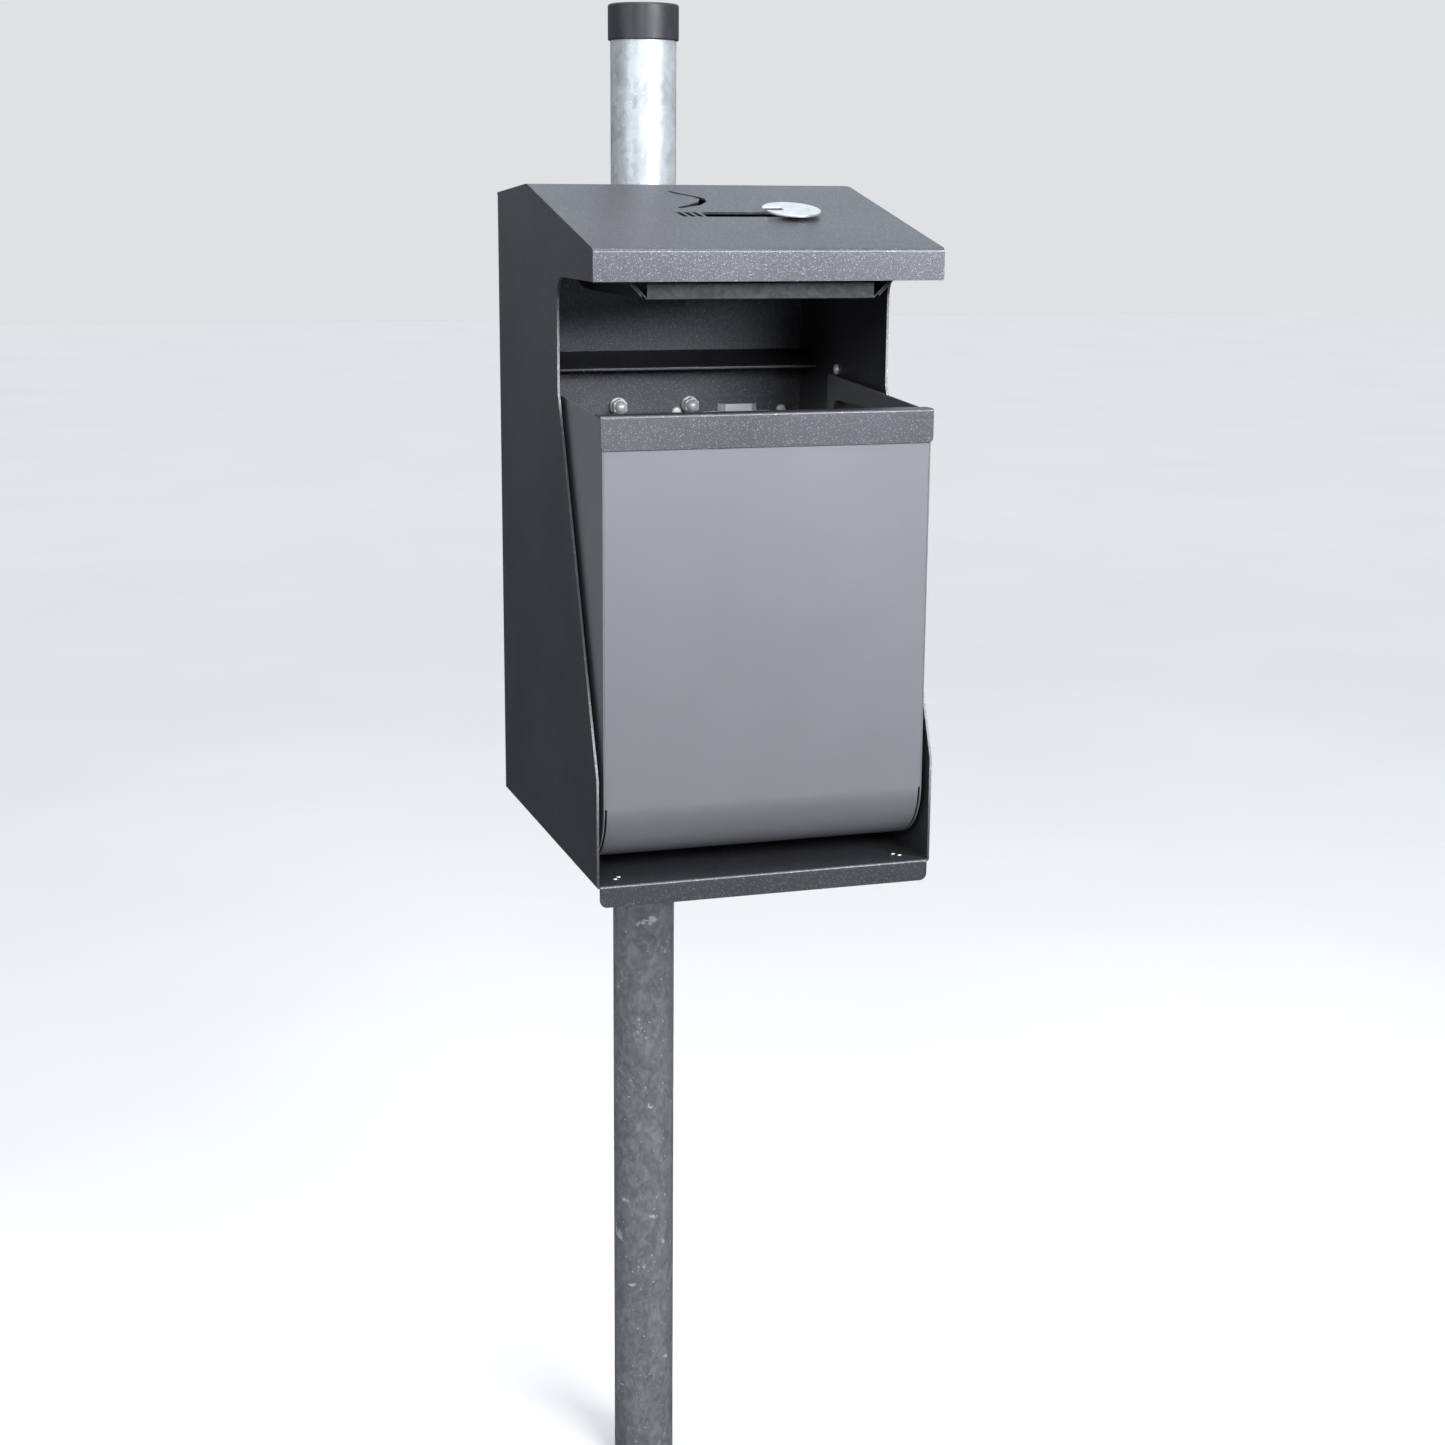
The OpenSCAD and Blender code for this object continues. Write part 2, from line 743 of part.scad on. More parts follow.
module liner_trim() {
    half = liner_x + trim_side;
    top = liner_top_z + trim_t;
    color(c_housing) {
        translate([-half, liner_front_y, top - trim_h]) rotate([90, 0, 0]) linear_extrude(trim_t) {
            round_rect(2 * half, trim_h - trim_t, trim_corner_r);
            translate([0, trim_corner_r]) square([2 * half, trim_h - trim_corner_r]);
        }
        translate([-half, liner_front_y, liner_top_z]) cube([2 * half, trim_depth, trim_t]);
        translate([-liner_inner_x, liner_front_y + trim_depth - trim_t, liner_top_z - trim_lip + trim_t])
            cube([2 * liner_inner_x, trim_t, trim_lip]);
    }
}

module liner_pins() {
    color(c_bright) for (side = [-1, 1]) {
        side_rod(side, liner_inner_x - pin_head_h, liner_inner_x, pin_head_r);
        side_rod(side, liner_inner_x - pin_root, liner_x + bush_gap + bush_w - pin_short, pin_d / 2);
    }
}

post();
post_cap();
ground_rod();
back_panel();
side_panel(-1);  // side_panel_left
side_panel(1);  // side_panel_right
floor_panel();
roof_panel();
rear_deflector();
stub_disc();
stub_spacer();
stub_nut();
tray_rail(-1);  // tray_rail_left
tray_rail(1);  // tray_rail_right
ash_tray();
u_bolt(clamp_zs[0]);  // upper_u_bolt
u_bolt(clamp_zs[1]);  // lower_u_bolt
saddle(clamp_zs[0]);  // upper_saddle
saddle(clamp_zs[1]);  // lower_saddle
clamp_washers();
clamp_nuts();
back_bracket();
bracket_screws();
hole_plugs();
cradle(-1);  // cradle_left
cradle(1);  // cradle_right
guide_buttons();
liner_rest();
liner_bush(-1);  // liner_bush_left
liner_bush(1);  // liner_bush_right
liner_wrap();
liner_cheek(-1);  // liner_cheek_left
liner_cheek(1);  // liner_cheek_right
liner_back();
liner_trim();
liner_pins();
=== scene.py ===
"""Finished look of a post-mounted litter bin, laid out as an add-on and run as a script."""

import json
from math import atan2, cos, pi, radians

import bpy
from bpy.props import FloatProperty, FloatVectorProperty, IntProperty, PointerProperty
from mathutils import Matrix, Vector

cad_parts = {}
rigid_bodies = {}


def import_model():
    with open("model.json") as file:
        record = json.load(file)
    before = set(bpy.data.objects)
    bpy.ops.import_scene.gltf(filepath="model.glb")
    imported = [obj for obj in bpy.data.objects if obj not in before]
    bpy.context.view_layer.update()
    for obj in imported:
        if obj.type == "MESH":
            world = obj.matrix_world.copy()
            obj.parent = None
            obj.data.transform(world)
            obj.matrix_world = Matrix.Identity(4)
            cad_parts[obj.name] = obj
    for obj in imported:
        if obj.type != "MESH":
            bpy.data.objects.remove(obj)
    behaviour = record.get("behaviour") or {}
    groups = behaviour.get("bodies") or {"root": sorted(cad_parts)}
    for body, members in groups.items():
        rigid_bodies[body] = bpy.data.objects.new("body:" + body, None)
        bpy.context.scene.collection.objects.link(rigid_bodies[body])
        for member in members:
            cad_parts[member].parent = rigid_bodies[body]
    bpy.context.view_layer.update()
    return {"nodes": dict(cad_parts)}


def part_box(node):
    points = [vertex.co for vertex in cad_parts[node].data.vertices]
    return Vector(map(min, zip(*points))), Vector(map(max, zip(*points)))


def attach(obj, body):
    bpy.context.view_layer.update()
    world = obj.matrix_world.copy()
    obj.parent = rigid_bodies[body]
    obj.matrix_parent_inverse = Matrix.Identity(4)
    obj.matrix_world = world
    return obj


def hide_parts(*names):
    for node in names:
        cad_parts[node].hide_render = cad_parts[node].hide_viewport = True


bl_info = {
    "name": "Post Litter Bin",
    "version": (1, 0, 0),
    "blender": (4, 5, 0),
    "location": "View3D > Sidebar > Litter Bin",
    "description": "Models the sheet metal, hardware and finishes of a litter bin on its post",
    "category": "Object",
}

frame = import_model()
FINISHES = {}

POST_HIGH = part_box("post")[1]
CAP_LOW, CAP_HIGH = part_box("post_cap")
BACK_LOW, BACK_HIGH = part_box("back_panel")
SIDE_LOW, SIDE_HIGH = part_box("side_panel_right")
FLOOR_LOW, FLOOR_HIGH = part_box("floor_panel")
ROOF_LOW, ROOF_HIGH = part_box("roof_panel")
DISC_LOW, DISC_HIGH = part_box("stub_disc")
TRAY_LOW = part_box("ash_tray")[0]
WASHER_LOW, WASHER_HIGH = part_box("clamp_washers")
NUT_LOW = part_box("clamp_nuts")[0]
BOLT_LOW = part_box("upper_u_bolt")[0]
SCREW_LOW, SCREW_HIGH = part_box("bracket_screws")
PLUG_LOW, PLUG_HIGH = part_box("hole_plugs")
TRIM_LOW, TRIM_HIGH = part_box("liner_trim")

SHEET = ROOF_HIGH.x - BACK_HIGH.x
WASHER_R = 0.008
ROD_R = 0.004
ROD_PLAY = 0.0005
NUT_ACROSS = 0.013
NUT_DEPTH = 0.007
DOME_R = 0.006
LEG_X = WASHER_HIGH.x - WASHER_R
CLAMP_HEIGHTS = (WASHER_HIGH.z - WASHER_R, WASHER_LOW.z + WASHER_R)
SCREW_HEAD_R = (SCREW_HIGH.z - SCREW_LOW.z) / 2
PLUG_HEAD_R = (PLUG_HIGH.z - PLUG_LOW.z) / 2
TACK_X = 0.121
TACK_Y = -0.352
NEAR = 0.0002

EDGE_SHEET = 0.0003
EDGE_BLOCK = 0.0005
EDGE_SOFT = 0.001


# ---- Sizes and colours a user would change ----


class BinSizes(bpy.types.PropertyGroup):
    """Rounding of the sheet metal"""

    edge_break: FloatProperty(
        name="Edge Break", description="Rounding of the coated sheet edges", default=0.0004, unit="LENGTH")
    bend_outside: FloatProperty(
        name="Outside Bend", description="Outer radius of a fold in the housing", default=0.0028,
        unit="LENGTH")
    bend_inside: FloatProperty(
        name="Inside Bend", description="Inner radius of a fold in the housing", default=0.001,
        unit="LENGTH")
    thread_pitch: FloatProperty(
        name="Thread Pitch", description="Pitch of the thread on the clamp legs", default=0.00125,
        unit="LENGTH")
    thread_depth: FloatProperty(
        name="Thread Depth", description="Share of the rod's radius that the thread cuts", default=0.14,
        subtype="FACTOR", min=0.0, max=0.3)
    thread_turns: IntProperty(
        name="Thread Turns", description="Turns of thread that show on each clamp leg", default=14,
        min=1, max=30)


class BinColours(bpy.types.PropertyGroup):
    """Colours of the finishes"""

    housing: FloatVectorProperty(
        name="Housing Coat", description="Anthracite powder coat", default=(0.092, 0.093, 0.104),
        subtype="COLOR", min=0.0, max=1.0)
    flake: FloatVectorProperty(
        name="Metal Flake", description="Bright flakes in the housing coat", default=(0.40, 0.41, 0.46),
        subtype="COLOR", min=0.0, max=1.0)
    liner: FloatVectorProperty(
        name="Liner Coat", description="Light grey coat of the liner", default=(0.196, 0.201, 0.218),
        subtype="COLOR", min=0.0, max=1.0)
    zinc: FloatVectorProperty(
        name="Zinc", description="Hot-dip zinc on the post", default=(0.47, 0.50, 0.53),
        subtype="COLOR", min=0.0, max=1.0)
    bright: FloatVectorProperty(
        name="Bright Zinc", description="Plated nuts, washers and bolts", default=(0.88, 0.89, 0.90),
        subtype="COLOR", min=0.0, max=1.0)
    cap: FloatVectorProperty(
        name="Cap Plastic", description="Black plastic of the post cap", default=(0.022, 0.022, 0.027),
        subtype="COLOR", min=0.0, max=1.0)
    floor: FloatVectorProperty(
        name="Studio Floor", description="Pale floor under the bin", default=(0.88, 0.87, 0.86),
        subtype="COLOR", min=0.0, max=1.0)


class BinStudio(bpy.types.PropertyGroup):
    """Camera and lights"""

    camera_place: FloatVectorProperty(
        name="Camera Place", description="Where the camera stands", default=(-0.5982, -2.1135, 1.295),
        subtype="XYZ", unit="LENGTH")
    camera_turn: FloatProperty(
        name="Camera Turn", description="Turn of the camera to the right", default=radians(17.809),
        subtype="ANGLE")
    camera_pitch: FloatProperty(
        name="Camera Pitch", description="How far the camera looks down", default=radians(13.094),
        subtype="ANGLE")
    camera_roll: FloatProperty(
        name="Camera Roll", description="Roll of the camera", default=radians(0.442), subtype="ANGLE")
    lens: FloatProperty(
        name="Lens", description="Focal length on a 36 mm sensor", default=57.715, unit="CAMERA")
    key_power: FloatProperty(
        name="Key Light", description="Power of the large light in front", default=92.0, subtype="POWER")
    fill_power: FloatProperty(
        name="Fill Light", description="Power of the light in front on the left", default=20.0,
        subtype="POWER")
    strip_power: FloatProperty(
        name="Side Light", description="Power of the narrow light on the left", default=10.0, subtype="POWER")
    top_power: FloatProperty(
        name="Top Light", description="Power of the light overhead", default=18.0, subtype="POWER")
    back_power: FloatProperty(
        name="Back Light", description="Power of the cool light behind, over the roof", default=6.0,
        subtype="POWER")
    low_strength: FloatProperty(
        name="Low Light", description="Strength of the light from below the horizon", default=0.06, min=0.0)
    ceiling_strength: FloatProperty(
        name="Ceiling Light", description="Strength of the light from the ceiling", default=1.12, min=0.0)
    backdrop: FloatProperty(
        name="Backdrop", description="Brightness of the plain backdrop", default=0.77, min=0.0)


# ---- Working by hand ----


def put_down():
    """Leaves edit mode with nothing selected."""
    if bpy.context.mode != "OBJECT":
        bpy.ops.object.mode_set(mode="OBJECT")
    bpy.ops.object.select_all(action="DESELECT")


def take(piece):
    """Makes piece the only selected object."""
    put_down()
    piece.select_set(True)
    bpy.context.view_layer.objects.active = piece


def open_up(piece, kind, everything=False):
    """Opens piece in edit mode, with all of it or none of it selected."""
    take(piece)
    bpy.ops.object.mode_set(mode="EDIT")
    bpy.ops.mesh.select_mode(type=kind)
    bpy.ops.mesh.select_all(action="SELECT" if everything else "DESELECT")


def pick_faces(piece, wanted):
    """Selects the faces whose centre and normal pass the test."""
    open_up(piece, "FACE")
    bpy.ops.object.mode_set(mode="OBJECT")
    for face in piece.data.polygons:
        face.select = wanted(face.center, face.normal)
    bpy.ops.object.mode_set(mode="EDIT")


def pick_edges(piece, wanted):
    """Selects the edges whose two ends pass the test."""
    open_up(piece, "EDGE")
    bpy.ops.object.mode_set(mode="OBJECT")
    points = piece.data.vertices
    for edge in piece.data.edges:
        edge.select = wanted(points[edge.vertices[0]].co, points[edge.vertices[1]].co)
    bpy.ops.object.mode_set(mode="EDIT")


def named(name):
    """Names the active object and its mesh, and fixes its place in its mesh."""
    piece = bpy.context.active_object
    piece.name = name
    piece.data.name = name
    bpy.ops.object.transform_apply(location=True, rotation=True, scale=True)
    return piece


def sheet_from(node, name):
    """Starts a piece on a clean copy of a CAD node, its triangles merged back into whole faces."""
    take(frame["nodes"][node])
    bpy.ops.object.duplicate()
    bpy.ops.object.parent_clear(type="CLEAR_KEEP_TRANSFORM")
    piece = named(name)
    for key in list(piece.keys()):
        del piece[key]
    piece.data.materials.clear()
    bpy.ops.mesh.customdata_custom_splitnormals_clear()
    open_up(piece, "VERT", everything=True)
    bpy.ops.mesh.remove_doubles(threshold=0.000002)
    bpy.ops.mesh.dissolve_limited(angle_limit=radians(0.4))
    bpy.ops.mesh.normals_make_consistent(inside=False)
    put_down()
    return piece


def fold(piece, place, radius, steps=5):
    """Rounds the straight fold that runs across at place, given as Y and Z."""
    fold_y, fold_z = place

    def on_fold(a, b):
        return all(abs(p.y - fold_y) < NEAR and abs(p.z - fold_z) < NEAR for p in (a, b))

    pick_edges(piece, on_fold)
    bpy.ops.mesh.bevel(offset=radius, segments=steps, profile=0.5, affect="EDGES", clamp_overlap=True)


def fold_lengthways(piece, place, radius, steps=5):
    """Rounds the straight fold that runs front to back at place, given as distance from the middle and Z."""
    fold_x, fold_z = place

    def on_fold(a, b):
        return all(abs(abs(p.x) - fold_x) < NEAR and abs(p.z - fold_z) < NEAR for p in (a, b))

    pick_edges(piece, on_fold)
    bpy.ops.mesh.bevel(offset=radius, segments=steps, profile=0.5, affect="EDGES", clamp_overlap=True)


def break_edges(piece, width, steps=2, sharp=35):
    """Rounds every remaining sharp edge a little and evens out the shading."""
    take(piece)
    bpy.ops.object.modifier_add(type="BEVEL")
    edge = piece.modifiers[-1]
    edge.width = width
    edge.segments = steps
    edge.limit_method = "ANGLE"
    edge.angle_limit = radians(sharp)
    bpy.ops.object.modifier_apply(modifier=edge.name)
    smooth(piece)


def smooth(piece, sharp=50):
    """Smooth shading that keeps flat faces flat."""
    take(piece)
    bpy.ops.object.shade_smooth_by_angle(angle=radians(sharp))
    bpy.ops.object.modifier_add(type="WEIGHTED_NORMAL")
    weights = piece.modifiers[-1]
    weights.keep_sharp = True
    bpy.ops.object.modifier_apply(modifier=weights.name)


def join(pieces, name):
    """Joins several pieces into one."""
    put_down()
    for piece in pieces:
        piece.select_set(True)
    bpy.context.view_layer.objects.active = pieces[0]
    bpy.ops.object.join()
    return named(name)


def copy_moved(piece, offset, name):
    """A copy of piece with its own mesh, moved by offset."""
    take(piece)
    bpy.ops.object.duplicate()
    bpy.ops.transform.translate(value=offset)
    return named(name)


def settle(piece, body, finish, *stands_for):
    """Gives piece its finish and hangs it on its body."""
    put_down()
    piece.data.materials.clear()
    piece.data.materials.append(FINISHES[finish])
    if stands_for:
        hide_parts(*stands_for)
    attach(piece, body)


def edged(node, name, body, finish, width, steps=2, sharp=35):
    """Makes a piece of a CAD node whose shape only needs its edges rounded."""
    piece = sheet_from(node, name)
    break_edges(piece, width, steps, sharp)
    settle(piece, body, finish, node)


# ---- Finishes ----


def new_finish(name, colour, metallic, roughness):
    """A material with its shader's even values set, and its parts to wire up."""
    material = bpy.data.materials.new(name)
    material.use_nodes = True
    shader = material.node_tree.nodes["Principled BSDF"]
    shader.inputs["Base Color"].default_value = (*colour, 1.0)
    shader.inputs["Metallic"].default_value = metallic
    shader.inputs["Roughness"].default_value = roughness
    FINISHES[name] = material
    return material, shader


def wire(material, source, target):
    material.node_tree.links.new(source, target)


def on_piece(material, stretch=(1.0, 1.0, 1.0), centre=(0.0, 0.0, 0.0), turn=(0.0, 0.0, 0.0)):
    """Places a pattern on the piece's own coordinates, stretched, centred and turned."""
    nodes = material.node_tree.nodes
    place = nodes.new("ShaderNodeTexCoord")
    mapping = nodes.new("ShaderNodeMapping")
    mapping.vector_type = "TEXTURE"
    mapping.inputs["Location"].default_value = centre
    mapping.inputs["Rotation"].default_value = turn
    mapping.inputs["Scale"].default_value = stretch
    wire(material, place.outputs["Object"], mapping.inputs["Vector"])
    return mapping.outputs["Vector"]


def cloud(material, place, scale, detail=2.0, roughness=0.5, distortion=0.0):
    """Soft uneven pattern, from 0 to 1."""
    noise = material.node_tree.nodes.new("ShaderNodeTexNoise")
    noise.inputs["Scale"].default_value = scale
    noise.inputs["Detail"].default_value = detail
    noise.inputs["Roughness"].default_value = roughness
    noise.inputs["Distortion"].default_value = distortion
    wire(material, place, noise.inputs["Vector"])
    return noise.outputs["Fac"]


def cells(material, place, scale):
    """Broken pattern of cells, each with its own random tone."""
    voronoi = material.node_tree.nodes.new("ShaderNodeTexVoronoi")
    voronoi.inputs["Scale"].default_value = scale
    wire(material, place, voronoi.inputs["Vector"])
    return voronoi


def cell_tone(material, voronoi):
    """The random tone of each cell, from 0 to 1."""
    split = material.node_tree.nodes.new("ShaderNodeSeparateColor")
    wire(material, voronoi.outputs["Color"], split.inputs["Color"])
    return split.outputs["Red"]


def graded(material, source, low, high, first, last):
    """Turns source between low and high into first to last."""
    grade = material.node_tree.nodes.new("ShaderNodeMapRange")
    grade.inputs["From Min"].default_value = low
    grade.inputs["From Max"].default_value = high
    grade.inputs["To Min"].default_value = first
    grade.inputs["To Max"].default_value = last
    wire(material, source, grade.inputs["Value"])
    return grade.outputs["Result"]


def both(material, a, b, operation="ADD"):
    """Two numbers added, multiplied or compared."""
    sum_node = material.node_tree.nodes.new("ShaderNodeMath")
    sum_node.operation = operation
    for value, socket in zip((a, b), sum_node.inputs):
        if isinstance(value, float):
            socket.default_value = value
        else:
            wire(material, value, socket)
    return sum_node.outputs["Value"]


def tinted(material, amount, base, over):
    """Base colour with another laid over it by amount."""
    mix = material.node_tree.nodes.new("ShaderNodeMix")
    mix.data_type = "RGBA"
    wire(material, amount, mix.inputs["Factor"])
    for colour, socket in ((base, mix.inputs[6]), (over, mix.inputs[7])):
        if isinstance(colour, bpy.types.NodeSocket):
            wire(material, colour, socket)
        else:
            socket.default_value = (*colour, 1.0)
    return mix.outputs[2]


def relief(material, height, depth, strength, under=None):
    """Raised surface from a height pattern, over an earlier one if given."""
    bump = material.node_tree.nodes.new("ShaderNodeBump")
    bump.inputs["Strength"].default_value = strength
    bump.inputs["Distance"].default_value = depth
    wire(material, height, bump.inputs["Height"])
    if under is not None:
        wire(material, under, bump.inputs["Normal"])
    return bump.outputs["Normal"]


def shade(colour, share):
    return tuple(channel * share for channel in colour)


def make_dark_coat(colours):
    """Anthracite powder coat with orange peel and fine metal flakes."""
    coat, shader = new_finish("coated_dark", colours.housing, 0.78, 0.42)
    place = on_piece(coat)
    smear = cloud(coat, place, 9.0, 3.0)
    flakes = cells(coat, place, 1500.0)
    sparkle = graded(coat, cell_tone(coat, flakes), 0.86, 1.0, 0.0, 0.5)
    peel = cloud(coat, place, 1000.0, 2.0, 0.6)
    even = tinted(coat, graded(coat, smear, 0.35, 0.65, 0.0, 1.0),
                  shade(colours.housing, 0.9), shade(colours.housing, 1.1))
    grained = tinted(coat, graded(coat, peel, 0.4, 0.7, 0.0, 0.2), even, shade(colours.flake, 0.4))
    wire(coat, tinted(coat, sparkle, grained, colours.flake), shader.inputs["Base Color"])
    wire(coat, graded(coat, peel, 0.3, 0.7, 0.46, 0.32), shader.inputs["Roughness"])
    hammered = relief(coat, peel, 0.0003, 0.45)
    tilted = relief(coat, cell_tone(coat, flakes), 0.0001, 0.5, hammered)
    wire(coat, tilted, shader.inputs["Normal"])


def make_light_coat(colours):
    """Smooth light grey coat of the liner."""
    coat, shader = new_finish("coated_light", colours.liner, 0.6, 0.52)
    place = on_piece(coat)
    cloudy = cloud(coat, place, 7.0, 4.0)
    peel = cloud(coat, place, 420.0, 2.0)
    wire(coat, tinted(coat, graded(coat, cloudy, 0.35, 0.65, 0.0, 1.0),
                      shade(colours.liner, 0.97), shade(colours.liner, 1.03)), shader.inputs["Base Color"])
    wire(coat, graded(coat, cloudy, 0.3, 0.7, 0.50, 0.54), shader.inputs["Roughness"])
    wire(coat, relief(coat, peel, 0.0002, 0.18), shader.inputs["Normal"])


def make_galvanised(colours):
    """Hot-dip zinc with pale spangles, splashes and specks, with painted shade that darkens it towards the
    foot.
    """
    zinc, shader = new_finish("galvanised", colours.zinc, 0.5, 0.38)
    place = on_piece(zinc)
    long_place = on_piece(zinc, stretch=(1.0, 1.0, 1.5))
    bloom = cloud(zinc, long_place, 42.0, 5.0, 0.62, 0.6)
    patches = cloud(zinc, long_place, 120.0, 4.0, 0.6, 0.9)
    spangle = cells(zinc, long_place, 190.0)
    splashes = cloud(zinc, place, 46.0, 4.0, 0.65, 0.4)
    specks = cloud(zinc, place, 240.0, 2.0)
    drop_here = both(zinc, graded(zinc, splashes, 0.64, 0.69, 0.0, 0.6),
                     graded(zinc, specks, 0.68, 0.75, 0.0, 0.6), "MAXIMUM")
    dull = tinted(zinc, graded(zinc, bloom, 0.38, 0.62, 0.0, 1.0),
                  shade(colours.zinc, 0.76), shade(colours.zinc, 1.08))
    spangled = tinted(zinc, graded(zinc, cell_tone(zinc, spangle), 0.0, 1.0, 0.0, 0.45), dull,
                      (0.64, 0.68, 0.71))
    dusty = tinted(zinc, graded(zinc, patches, 0.60, 0.72, 0.0, 0.4), spangled, (0.80, 0.82, 0.84))
    # Painted shade: the zinc is painted dark towards the foot, below the housing, where the housing's shadow
    # falls on the post.
    height = zinc.node_tree.nodes.new("ShaderNodeSeparateXYZ")
    wire(zinc, place, height.inputs["Vector"])
    painted_shade_low = graded(zinc, height.outputs["Z"], BACK_LOW.z, BACK_HIGH.z, 0.84, 0.0)
    painted_shade_zinc = tinted(zinc, graded(zinc, patches, 0.38, 0.64, 0.0, 1.0),
                     shade(colours.zinc, 0.20), shade(colours.zinc, 0.40))
    # Pale dusty zinc above, painted shade below.
    dusty_and_painted_shade = tinted(zinc, painted_shade_low, dusty, painted_shade_zinc)
    wire(zinc, tinted(zinc, drop_here, dusty_and_painted_shade, (0.66, 0.71, 0.74)), shader.inputs["Base Color"])
    wire(zinc, graded(zinc, bloom, 0.3, 0.7, 0.36, 0.50), shader.inputs["Roughness"])
    grain = relief(zinc, patches, 0.0006, 0.35)
    wire(zinc, relief(zinc, drop_here, 0.0008, 0.5, grain), shader.inputs["Normal"])


def make_zinc_sheet(colours):
    """Thin galvanised sheet with a fine spangle, its zinc darkened to a tenth as painted shade for the tray
    and rails under the roof lip.
    """
    zinc, shader = new_finish("zinc_sheet", colours.zinc, 0.7, 0.4)
    place = on_piece(zinc)
    spangle = cells(zinc, place, 300.0)
    haze = cloud(zinc, place, 40.0, 4.0)
    # Painted shade: the zinc colour is cut to a tenth because the tray and its rails sit in shade under the
    # roof lip.
    shaded_spangle = tinted(zinc, graded(zinc, cell_tone(zinc, spangle), 0.0, 1.0, 0.0, 1.0),
                   shade(colours.zinc, 0.06), shade(colours.zinc, 0.10))
    wire(zinc, tinted(zinc, graded(zinc, haze, 0.55, 0.75, 0.0, 0.4), shaded_spangle, (0.11, 0.12, 0.125)),
         shader.inputs["Base Color"])
    wire(zinc, graded(zinc, haze, 0.3, 0.7, 0.32, 0.5), shader.inputs["Roughness"])
    wire(zinc, relief(zinc, haze, 0.0003, 0.15), shader.inputs["Normal"])


def make_bright_zinc(colours):
    """Plated hardware, bright with faint handling marks."""
    plate, shader = new_finish("zinc_bright", colours.bright, 0.3, 0.30)
    place = on_piece(plate)
    marks = cloud(plate, place, 420.0, 3.0)
    haze = cloud(plate, place, 90.0, 3.0)
    wire(plate, tinted(plate, graded(plate, haze, 0.4, 0.7, 0.0, 0.6), colours.bright, (0.72, 0.74, 0.74)),
         shader.inputs["Base Color"])
    wire(plate, graded(plate, marks, 0.35, 0.7, 0.28, 0.46), shader.inputs["Roughness"])
    wire(plate, relief(plate, marks, 0.0001, 0.2), shader.inputs["Normal"])


def make_disc_metal(colours):
    """Turned disc with fine rings round its stud."""
    satin = shade(colours.bright, 0.76)
    metal, shader = new_finish("disc_metal", satin, 0.75, 0.34)
    middle = (DISC_LOW + DISC_HIGH) / 2
    place = on_piece(metal, centre=tuple(middle), turn=(roof_tilt(), 0.0, 0.0))
    rings = metal.node_tree.nodes.new("ShaderNodeTexWave")
    rings.wave_type = "RINGS"
    rings.rings_direction = "Z"
    rings.inputs["Scale"].default_value = 420.0
    rings.inputs["Distortion"].default_value = 0.6
    rings.inputs["Detail"].default_value = 2.0
    wire(metal, place, rings.inputs["Vector"])
    haze = cloud(metal, place, 120.0, 4.0)
    hazed = graded(metal, haze, 0.4, 0.7, 0.0, 0.7)
    wire(metal, tinted(metal, hazed, satin, (0.50, 0.51, 0.53)), shader.inputs["Base Color"])
    wire(metal, graded(metal, rings.outputs["Fac"], 0.0, 1.0, 0.28, 0.42), shader.inputs["Roughness"])
    wire(metal, relief(metal, rings.outputs["Fac"], 0.00006, 0.2), shader.inputs["Normal"])


def make_plastic(name, colour, gloss):
    """Moulded plastic with a fine spark-eroded grain and scuffs."""
    plastic, shader = new_finish(name, colour, 0.0, gloss)
    place = on_piece(plastic)
    grain = cloud(plastic, place, 900.0, 2.0)
    scuffs = cloud(plastic, on_piece(plastic, stretch=(1.0, 1.0, 3.0)), 60.0, 4.0, 0.6)
    wire(plastic, tinted(plastic, graded(plastic, scuffs, 0.5, 0.75, 0.0, 0.5), colour,
                         tuple(channel * 2.2 + 0.01 for channel in colour)), shader.inputs["Base Color"])
    wire(plastic, graded(plastic, scuffs, 0.3, 0.7, gloss - 0.08, gloss + 0.1), shader.inputs["Roughness"])
    wire(plastic, relief(plastic, grain, 0.0001, 0.25), shader.inputs["Normal"])


def make_floor_finish(colours):
    """Pale, almost even studio floor, with a painted glow that makes it a little brighter far away, where it
    meets the backdrop.
    """
    paint, shader = new_finish("studio_floor", colours.floor, 0.0, 0.7)
    haze = cloud(paint, on_piece(paint), 1.5, 3.0)
    wire(paint, tinted(paint, graded(paint, haze, 0.3, 0.7, 0.0, 1.0),
                       shade(colours.floor, 0.985), shade(colours.floor, 1.015)), shader.inputs["Base Color"])
    wire(paint, graded(paint, haze, 0.3, 0.7, 0.66, 0.74), shader.inputs["Roughness"])
    reach = paint.node_tree.nodes.new("ShaderNodeVectorMath")
    reach.operation = "LENGTH"
    wire(paint, on_piece(paint), reach.inputs[0])
    # Painted glow: the floor emits a little light, more the further it lies from the bin, so it fades into
    # the backdrop.
    shader.inputs["Emission Color"].default_value = (1.0, 1.0, 1.0, 1.0)
    far_glow = graded(paint, reach.outputs["Value"], 2.0, 7.0, 0.0, 0.11)
    wire(paint, far_glow, shader.inputs["Emission Strength"])


def roof_tilt():
    """Angle by which the front of the roof slopes down."""
    points = [v.co for v in frame["nodes"]["roof_panel"].data.vertices]
    ridge = max(points, key=lambda p: p.z)
    brow = max((p for p in points if abs(p.y - ROOF_LOW.y) < NEAR), key=lambda p: p.z)
    return atan2(ridge.z - brow.z, ridge.y - brow.y)


# ---- Pieces ----


